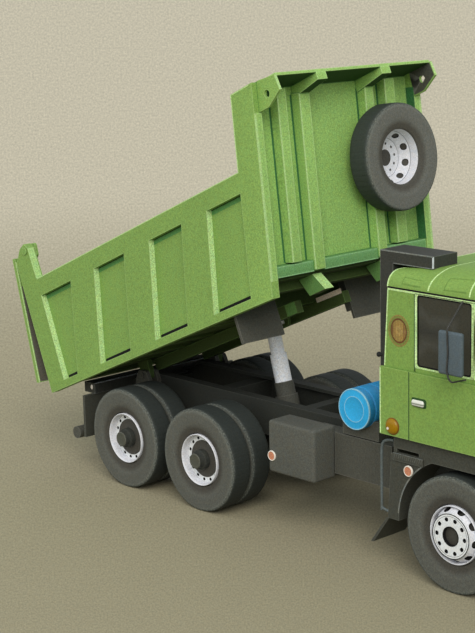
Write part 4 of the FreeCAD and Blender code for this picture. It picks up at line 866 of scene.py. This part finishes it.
def makeBedEdges():  # pale front faces of the posts, dark sheets behind them as painted shade, pale cut edges of the sides
    half, wall, topX = bedSide["half"], bedSide["wall"], boardX(board["high"])
    low, high = bedEdge["post"]
    seam = half - bedEdge["postWidth"]
    faces, shadeSheets, plain, edges, feet = [], [], [], [], []
    for side in (-1, 1):
        for outer, inner, strips, card in ((half, seam, faces, "light"), (seam, half - wall, plain, "wing")):
            strips += crossSheet((boardX(low) + 0.03, low), (boardX(high) + 0.03, high), side * outer, side * inner,
                                 (-0.05, 0, 0), card)
        first, second = ((bedEdge["gatePost"], z) for z in bedEdge["gateHeights"])
        faces += crossSheet(first, second, side * half, side * (half - bedEdge["gateWidth"]), (-0.05, 0, 0), "light")
        # painted shade: a dark teal sheet on the inner face beside the headboard's edge
        shadeSheet = boardPoint(np.array(bedEdge["shadeSheet"])[:, None], np.array([-board["panel"], -0.1]),
                            side * (half - wall - 0.04))
        shadeSheets += slab(shadeSheet, (0, -side * 0.04, 0), "teal")
        first, second = ((topX + x, z) for x, z in bedEdge["ear"])
        faces += crossSheet(first, second, *(side * y for y in bedEdge["earAcross"]), (0.03, 0, 0), "light")
        lines = [((bedEdge["cutRear"], waist), (boardX(waist) - step, waist), (topX - rise, top),
                  (topX - bedEdge["cutFront"], top)) for waist, step, top, rise in bedEdge["cutLines"]]
        edges += slab(sideGrid(lines, side * (half + 0.03)), (0, -side * 0.05, 0), "light")
    for low, high in bedEdge["feet"]:
        faces += crossSheet(*bedEdge["footFront"], low, high, (0.03, 0, 0.02), "light")
        feet += sideSheet(bedEdge["footSide"], low - 0.03, 0.04, "footSide")
    named = {"postFaces": faces, "postShadeSheets": shadeSheets, "postSides": plain, "bedEdges": edges, "feetSides": feet}
    for name, patches in named.items():
        bedPiece(name, patches)


makeBedEdges()

gateSheet = {"x": -7.5, "half": 38.4, "low": -48.4, "high": -12.4, "edge": (39.0, 38.65), "edgeLow": -48.5,
             "edgeHigh": -3.0}
patches = crossSheet((gateSheet["x"], gateSheet["low"]), (gateSheet["x"], gateSheet["high"]), -gateSheet["half"],
                     gateSheet["half"], (0.06, 0, 0), "grey")
for side in (-1, 1):
    x = gateSheet["x"] + 0.04
    patches += crossSheet((x, gateSheet["edgeLow"]), (x, gateSheet["edgeHigh"]),
                          *(side * y for y in gateSheet["edge"]), (0.05, 0, 0), "pale")
makePiece("gateLining", patches, "tailgate", gatePoints)

# dark inner face of the left lifting ear; x is counted from the headboard's rear face at the top
earSheet = {"eye": (2.9, 63.7), "bore": 1.25, "y": 35.83, "thick": 0.05,
            "corners": ((-1.6, 68.4), (1.0, 68.6), (7.9, 67.7), (8.3, 63.1), (2.0, 60.0), (-2.4, 60.0))}
rearTop = (boardX(board["high"]), 0)
outline = roundOutline(np.array(earSheet["corners"]) + rearTop, 0.3, 2)
rings = np.stack([outline, boreRing(outline, np.array(earSheet["eye"]) + rearTop, earSheet["bore"])])
patches = slab(sideGrid(rings, earSheet["y"]), (0, -earSheet["thick"], 0), "dark")
bedPiece("earLining", patches)
print("bed details made")

cab = {
    "side": 38.5, "upper": 37.5, "low": 43.65, "gutter": 88.0, "frameLow": 65.3, "frameHigh": 87.3,
    "windows": (upright(-13.9, 65.8, 6.1, 87.0), ((7.5, 65.8), (20.5, 65.8), (17.5, 87.0), (7.5, 87.0))),
}
roof = {
    # places along the cab and the roof's rise above the gutter there
    "along": (-25.2, -14.0, -9.8, 5.2, 16.0, 27.5, 30.6, 31.8), "rise": (4.5, 5.5, 6.2, 7.7, 8.0, 7.6, 5.6, 0.3),
    "corner": 5.0, "cornerGrowth": 8.5, "growthLength": 15.4, "seams": ((-25.12, 0.0), (-9.8, 0.05), (5.2, 0.05)),
    "seamHalf": 0.24, "hatches": ((-20.0, -13.0, 0.2, 1.6), (-4.4, 3.8, 0.25, 3.2)),
    "gutterLine": (87.1, 87.66, 88.16), "gutterEnds": (-25.1, 29.8),
}
# door's gap and cut rear edge, above and below the waist: (x, z) of foot and top
cabLine = {"gapWidth": 0.42, "gaps": ((-15.05, 64.2, 87.1, "upper"), (-16.35, 43.65, 63.9, "side")),
           "cutWidth": 0.4, "cuts": (((-26.55, 64.2), (-25.2, 87.2), "upper"),
                                     ((-27.47, 43.65), (-27.47, 63.7), "side")),
           "gapColour": (60, 92, 40)}


def makeGlass():
    glass, gaskets, frames = [], [], []
    for corners in cab["windows"]:
        outline = roundOutline(corners, 1.0)
        centre, size = np.mean(corners, 0), np.ptp(np.asarray(corners), 0)
        inset = centre + (outline - centre) * (1 - 1.0 / size)
        outset = centre + (outline - centre) * (1 + 1.5 / size)
        outset[:, 1] = np.clip(outset[:, 1], cab["frameLow"], cab["frameHigh"])
        overlap = outline + (outline - centre) * 0.002
        glass += slab(sideGrid(disc(inset, centre, (1.0, 0.6, 0.0)), 0.2 - cab["upper"]), (0, 0.1, 0), "window")
        gaskets += slab(sideGrid(np.stack([overlap, inset]), 0.12 - cab["upper"]), (0, 0.2, 0), "hole")
        frames += slab(sideGrid(np.stack([outset, outline]), -cab["upper"] - 0.06), (0, 0.1, 0), "pale")
    truckPiece("sideGlass", bothSides(glass))
    truckPiece("windowGaskets", bothSides(gaskets))
    truckPiece("windowFrames", bothSides(frames))


makeGlass()


def roofPoint(x, across):
    # height = gutter + rise * sqrt(1 - (1-u)^2), u = distance in from the long edge over the corner's width
    x, across = np.broadcast_arrays(np.asarray(x, float), across)
    rise = np.interp(x, roof["along"], roof["rise"])
    blend = np.clip((x - roof["along"][0]) / roof["growthLength"], 0, 1)
    width = roof["corner"] + roof["cornerGrowth"] * blend * blend * (3 - 2 * blend)
    u = np.clip((cab["upper"] - np.abs(across)) / width, 0, 1)
    return np.stack([x, across, cab["gutter"] + rise * np.sqrt(1 - (1 - u) ** 2)], -1)


def roofRun(low, high, count):  # places across, closer together near the long edge
    t = np.linspace(0, 1, count)
    return -cab["upper"] + (low + (high - low) * t * t)


def makeRoof():
    half = roofRun(0, cab["upper"], 28)
    across = np.concatenate([half, -half[::-1][1:]])
    stations = np.concatenate([np.linspace(roof["along"][0], 14, 34), np.linspace(16, roof["along"][-1], 22)])
    top = roofPoint(stations[:, None], across[None])
    sill = top * (1, 1, 0) + (0, 0, cab["gutter"] - 0.15)
    borders = [(top[0], sill[0]), (top[-1], sill[-1]), (top[:, 0], sill[:, 0]), (top[:, -1], sill[:, -1])]
    patches = carded("green", top, sill[:, [0, -1]], *(np.stack(border) for border in borders))
    truckPiece("roofCard", patches, ["cab_roof"], sharp=50)
    seams, printed = [], []
    for x, low in roof["seams"]:
        run = roofRun(low, cab["upper"], 30)
        strip = np.stack([roofPoint(x + side * roof["seamHalf"], run) for side in (-1, 1)]) + (0, -0.03, 0.05)
        seams += slab(strip, (0, 0.05, -0.07), "pale")
    for xLow, xHigh, low, high in roof["hatches"]:  # three sides of a printed outline, beside the roof's long edge
        lines = (((xLow, high), (xHigh, high), (0, 0.2)), ((xLow, low), (xHigh, low), (0, 0.2)),
                 ((xLow, low), (xLow, high), (0.3, 0)))
        for first, second, wide in lines:
            x, y = np.linspace(first, second, 12).T - ((0,), (cab["upper"],))
            strip = np.stack([roofPoint(x, y), roofPoint(x + wide[0], y + wide[1])]) + (0, -0.02, 0.03)
            printed += slab(strip, (0, 0.05, -0.05), "hatch")
    first, last = roof["gutterEnds"]
    low, middle, high = roof["gutterLine"]
    seams += sideSheet(upright(first, low, last, middle), -cab["upper"] - 0.06, 0.1, "pale")
    shadow = sideSheet(upright(first, middle, last, high), -cab["upper"] - 0.08, 0.1, "hole")
    truckPiece("roofSeams", bothSides(seams))
    truckPiece("hatchLines", bothSides(printed))
    truckPiece("gutterShadow", bothSides(shadow))


makeRoof()


def makeCabLines():
    gaps, cuts, width = [], [], cabLine["cutWidth"]
    for x, low, high, part in cabLine["gaps"]:
        gaps += sideSheet(upright(x, low, x + cabLine["gapWidth"], high), -cab[part] - 0.05, 0.1, "hatchDark")
    for (lowX, low), (highX, high), part in cabLine["cuts"]:
        corners = ((lowX, low), (lowX + width, low), (highX + width, high), (highX, high))
        cuts += sideSheet(corners, -cab[part] - 0.05, 0.1, "pale")
    truckPiece("doorGaps", bothSides(gaps))
    truckPiece("cabCutEdges", bothSides(cuts))


alteredCard("hatchDark", "hatch", colour=cabLine["gapColour"])
makeCabLines()

vent = {"centre": (-20.8, 75.4), "size": (4.05, 4.75), "dark": (96, 44, 16), "tan": (150, 124, 62),
        "ring": (138, 122, 58), "ground": (112, 122, 52), "bars": 24.0, "barEdge": 0.35,
        # shares of the way out to the oval's edge
        "aside": (0.3, 0.62, 0.2, 0.85), "grille": (0.64, 0.68), "ringIn": (0.66, 0.70), "ringOut": (0.80, 0.76),
        "border": (0.90, 0.93)}


def makeVentMaterial(look):
    # oval grille print: two dark rings, then upright bars; r is the distance from the middle as a share of the oval
    material, tree, shader = newMaterial("ventPrint", 0.6)
    (x, z), (wide, tall) = look["centre"], look["size"]
    away = vectorMaths(tree, "SUBTRACT", objectPlace(tree), ((x + truckShift) * mm, 0, z * mm))
    share = vectorMaths(tree, "MULTIPLY", away, (1 / (wide * mm), 0, 1 / (tall * mm)))
    r = vectorMaths(tree, "LENGTH", share, result="Value")
    along = split(tree, share)[0]
    bars = ramp(tree, maths(tree, "SINE", times(tree, along, look["bars"])), -look["barEdge"], look["barEdge"])
    aside = ramp(tree, maths(tree, "ABSOLUTE", along), *look["aside"])
    darker = maths(tree, "MAXIMUM", maths(tree, "SUBTRACT", aside, times(tree, bars, 0.35)), 0.0)
    dark, tan, ring, ground = (linear(*look[key]) for key in ("dark", "tan", "ring", "ground"))
    ringShare = times(tree, ramp(tree, r, *look["ringIn"]), ramp(tree, r, *look["ringOut"]))
    ringed = mixColour(tree, ramp(tree, r, *look["grille"]), mixColour(tree, darker, tan, dark), ground)
    ringed = mixColour(tree, ramp(tree, r, *look["border"]), mixColour(tree, ringShare, ringed, dark), ring)
    ink = placeGroup(tree, inkGrain, {"Colour": ringed, "Grain": 0.5, "Drift": 0.1, "Dot Size": 0.4})
    tree.links.new(ink["Colour"], shader["Base Color"])
    return material


cards["ventPrint"] = makeVentMaterial(vent)
angle = np.linspace(0, 2 * np.pi, 49)
oval = vent["centre"] + np.stack([vent["size"][0] * np.cos(angle), vent["size"][1] * np.sin(angle)], -1)
patches = slab(sideGrid(disc(oval, vent["centre"], (1.0, 0.7, 0.35, 0.0)), -cab["upper"] - 0.07), (0, 0.1, 0),
               "ventPrint")
truckPiece("sideVents", bothSides(patches))

# cards of the small parts: the card each one comes from, its ink, grain and roughness
smallCards = {
    "reflector": ("lamp", (194, 128, 98), 0.4, 0.4), "paleRing": ("clear", (226, 218, 206), 0.2, 0.5),
    "brown": ("lamp", (112, 74, 16), 0.14, 0.4), "wire": ("dark", (34, 35, 34), 0.3, 0.7),
    # gloss: pale grey for the lamp bar's painted highlight and the intake's rubbed edges
    "railBlue": ("mirror", (88, 96, 95), 0.4, 0.5), "gloss": ("clear", (196, 204, 214), 0.4, 0.2),
    "wornGrey": ("dark", (108, 113, 109), 0.8, 0.7),
}
for name, (base, colour, grain, rough) in smallCards.items():
    alteredCard(name, base, colour=colour, grain=grain, rough=rough)

# handle: the capsule's colours are a painted reflection, in bands
handle = {"x": -12.35, "z": 55.3, "half": 2.35, "radius": (0.42, 1.0), "roundFrom": 0.72,
          "plate": ((-2.7, -1.1), (2.9, -1.35), (2.9, 1.5), (-2.7, 1.5)),
          "bright": (222, 224, 214), "dull": (132, 138, 124), "low": (96, 104, 84)}


def makeChromeReflection(look):  # painted reflection: bright, dull and bright bands from the capsule's top down, darker at its foot
    material, tree, shader = newMaterial("chromeReflectionBands", 0.25)
    down = times(tree, maths(tree, "SUBTRACT", look["z"] * mm, split(tree, objectPlace(tree))[2]), 1 / mm)
    dull = times(tree, ramp(tree, down, -0.25, 0.05), ramp(tree, down, 0.45, 0.2))
    colour = mixColour(tree, dull, linear(*look["bright"]), linear(*look["dull"]))
    lower = mixColour(tree, ramp(tree, down, 0.5, 0.8), colour, linear(*look["low"]))
    tree.links.new(lower, shader["Base Color"])
    return material


def makeHandles():
    x, z = handle["x"], handle["z"]
    outline = roundOutline([(x + a, z + b) for a, b in handle["plate"]], 0.9)
    patches = slab(sideGrid(disc(outline, (x, z)), -cab["side"] - 0.05), (0, 0.1, 0), "shade")
    # capsule: circle sections along X whose radius closes as sqrt(1 - s^2) at both ends
    s = np.concatenate([np.linspace(-1, -0.75, 7), np.linspace(-0.6, 0.6, 5), np.linspace(0.75, 1, 7)])
    past = np.clip((np.abs(s) - handle["roundFrom"]) / (1 - handle["roundFrom"]), 0, 1)
    close = np.sqrt(1 - past**2)[:, None]
    angle = np.linspace(0, 2 * np.pi, 17)
    deep, tall = handle["radius"]
    body = np.stack([np.broadcast_to((x + handle["half"] * s)[:, None], (len(s), len(angle))),
                     -cab["side"] - 0.45 - deep * close * np.cos(angle), z + tall * close * np.sin(angle)], -1)
    patches += carded("chrome", body)
    truckPiece("handleCapsules", bothSides(patches), ["door_handles"])


cards["chrome"] = makeChromeReflection(handle)
makeHandles()

sideLamp = {
    "place": (-22.5, -38.5, 46.5), "dome": [(0, -1.15), (1.2, -1.1), (2.0, -0.8), (2.4, -0.3), (2.4, 0.05)],
    "glintPlace": (-23.4, -38.5, 45.9), "glint": [(0, -1.24), (0.4, -1.2), (0.48, -0.9)],
    "collarPlace": (-22.45, -38.5, 46.5), "collar": [(2.3, -0.2), (2.3, -0.3), (2.62, -0.12), (2.62, 0.05)],
}
reflector = {
    "centre": [(0, -0.42), (1.34, -0.42)],
    "ring": [(1.34, -0.42), (1.4, -0.5), (1.62, -0.48), (1.7, -0.3), (1.7, 0.05)],
    # places, and which way they face: 1 is to the right
    "places": ((-17.3, -37.2, 33.5, 1), (17.3, -37.2, 33.5, 1), (-17.3, 37.2, 33.5, -1), (17.3, 37.2, 33.5, -1),
               (-75.2, -37.0, 26.4, 1), (-75.2, 36.5, 26.4, -1)),
}


def makeSideLamps():
    dome = softProfile(sideLamp["dome"], 0.5, 4)
    patches = []
    for card, profile, place in (("lamp", dome, "place"), ("paleRing", sideLamp["glint"], "glintPlace"),
                                 ("brown", sideLamp["collar"], "collarPlace")):
        patches += carded(card, turned(profile, 48) + sideLamp[place])
    patches = bothSides(patches)
    ring = softProfile(reflector["ring"], 0.08, 2)
    for *place, side in reflector["places"]:
        for card, profile in (("reflector", reflector["centre"]), ("paleRing", ring)):
            patches += carded(card, turned(profile, 48) * (1, side, 1) + place)
    truckPiece("lampsAndReflectors", patches, ["side_lamps"])


makeSideLamps()

mirror = {"low": (0.35, -45.5, 67.6), "high": (9.0, -43.9, 80.1), "round": 0.78, "wire": 0.26,
          "path": [(3.0, -37.6, 87.3), (3.9, -45.4, 80.9), (4.05, -45.7, 79.6), (4.35, -45.7, 74.0),
                   (3.95, -45.7, 69.0), (4.7, -45.7, 66.6), (5.5, -45.3, 65.8), (4.95, -38.6, 65.2)]}
patches = roundedBox(mirror["low"], mirror["high"], mirror["round"], "mirror")
patches += tube(mirror["path"], mirror["wire"], "wire", 10, 0.7)
truckPiece("mirrorPair", bothSides(patches), ["mirrors"])

grabRail = {"radius": 0.45, "foot": [(-29.2, -35.8, 19.4), (-27.6, -35.9, 18.9), (-26.0, -36.2, 18.9)],
            "path": [(-29.2, -35.8, 18.6), (-29.2, -35.8, 37.8), (-28.7, -35.8, 39.9), (-27.0, -35.8, 40.9),
                     (-24.4, -35.8, 41.2)]}
patches = tube(grabRail["path"], grabRail["radius"], "railBlue", corner=1.4)
patches += tube(grabRail["foot"], grabRail["radius"], "railBlue")
truckPiece("grabRails", bothSides(patches), ["cab_steps"])

step = {"archCentre": 17.8, "archRadii": (21.62, 22.05), "archTurn": (126, 176), "archFace": -36.74,
        "hatch": (-23.2, -12.6, 0.8), "hatchLine": ((0, 36.5), (0.26, 36.5), (0.6, 37.7), (0.34, 37.7)),
        "face": -37.22, "top": ((-23.5, 37.92), (-12.1, 37.92)), "topAcross": (-37.2, -36.72)}
arch = np.radians(np.linspace(*step["archTurn"], 40))
rings = np.stack([np.stack([r * np.cos(arch), step["archCentre"] + r * np.sin(arch)], -1) for r in step["archRadii"]])
patches = slab(sideGrid(rings, step["archFace"]), (0, 0.08, 0), "wornGrey")
for x in np.arange(*step["hatch"]):  # hatch across the tread's front
    patches += sideSheet(np.array(step["hatchLine"]) + (x, 0), step["face"], 0.06, "box")
patches += crossSheet(*step["top"], *step["topAcross"], (0, 0, -0.04), "wornGrey")
truckPiece("stepEdges", bothSides(patches))

lampBar = {"strip": ((-173.0, 32.66), (-171.95, 32.66)), "half": 31.9,
           "lens": [(0, -0.35), (0.45, -0.3), (0.62, 0.02)], "lensPlace": (-173.8, 32.4, 31.2), "lensTall": 1.5}
# painted highlight: the pale strip along the bar's top front edge
patches = crossSheet(*lampBar["strip"], -lampBar["half"], lampBar["half"], (0, 0, -0.05), "gloss")
for side in (-1, 1):
    lens = turned(softProfile(lampBar["lens"]), 32) * (1, -side, lampBar["lensTall"])
    patches += carded("paleRing", lens + np.array(lampBar["lensPlace"]) * (1, side, 1))
truckPiece("lampBarSheenAndLenses", patches)

batteryBox = {"box": ((-77.0, -37.0, 20.8), (-56.5, -27.0, 38.0), 1.0),
              "bracket": ((-74.0, -27.6, 25.8), (-59.5, -14.0, 33.0), 0.4)}
patches = [patch for shape in batteryBox.values() for patch in roundedBox(*shape, "box")]
truckPiece("batteryBoxSkin", patches, ["battery_box"])

intake = {
    "upright": (-14.35, 93.5, -13.98, 96.9), "face": -30.33, "corner": ((-13.97, 93.5), (-13.97, 96.9)),
    "top": ((-34.4, 97.03), (-14.1, 97.03)), "across": (-30.3, -29.95),
    "long": ((-34.4, 96.7, -14.1, 97.0), (-29.3, 93.3, -14.1, 93.55)),
    "knob": [(0, -0.8), (0.7, -0.5), (0.85, 0.1), (0.5, 0.6), (0.3, 1.2), (0, 1.2)],
    "knobPlace": (-35.0, -30.4, 64.9),
}
# rubbed paper along the head of the air intake
patches = sideSheet(upright(*intake["upright"]), intake["face"], 0.05, "gloss")
patches += crossSheet(*intake["corner"], *intake["across"], (-0.05, 0, 0), "gloss")
patches += crossSheet(*intake["top"], *intake["across"], (0, 0, -0.05), "wornGrey")
for ends in intake["long"]:
    patches += sideSheet(upright(*ends), intake["face"], 0.05, "wornGrey")
truckPiece("intakeEdges", patches)
knobAxes = ((0, 1, 0), (1, 0, 0), (0, 0, 1))
patches = carded("wire", turned(softProfile(intake["knob"]), 32))
makePiece("intakeKnob", patches, "chassis",
          placedBy(knobAxes, truckPoints(np.array(intake["knobPlace"]))))
print("cab details made")


def makeFloorMaterial(look):
    # painted shade: the paper darker near the truck, paler with distance: share = smooth ramp of the distance from
    # the middle
    material, tree, shader = newMaterial("floorPaperShade", 0.85, 0.2)
    where = objectPlace(tree)
    distance = vectorMaths(tree, "LENGTH", where, result="Value")
    share = ramp(tree, distance, look["nearReach"], look["farReach"], kind="SMOOTHSTEP")
    colour = mixColour(tree, share, linear(*look["near"]), linear(*look["far"]))
    # speckle that coarsens with distance: bearing and 1/distance about a place in front of the truck
    away = vectorMaths(tree, "SUBTRACT", where, (*(place * mm for place in look["grainCentre"]), 0))
    x, y = split(tree, away)[:2]
    bearing = times(tree, maths(tree, "ARCTAN2", y, x), look["grainAcross"])
    depth = maths(tree, "DIVIDE", look["grainDeep"], vectorMaths(tree, "LENGTH", away, result="Value"))
    speckle = noise(tree, joined(tree, bearing, depth), 1.0)
    tone = ramp(tree, speckle, 0.2, 0.8, 1 - look["speckle"], 1 + look["speckle"])
    ink = placeGroup(tree, inkGrain, {"Colour": scaled(tree, colour, tone), "Grain": 0.12, "Drift": 0.05,
                                      "Dot Size": 0.7})
    setSurface(tree, shader, ink, 0.2, 0.1)
    return material


floorMesh = bpy.data.meshes.new("floor")
reach = floorLook["half"]
floorMesh.from_pydata([(-reach, -reach, 0), (reach, -reach, 0), (reach, reach, 0), (-reach, reach, 0)], [],
                      [(0, 1, 2, 3)])
floorMesh.materials.append(makeFloorMaterial(floorLook))
floor = bpy.data.objects.new("floor", floorMesh)
bpy.context.scene.collection.objects.link(floor)
print("floor laid")
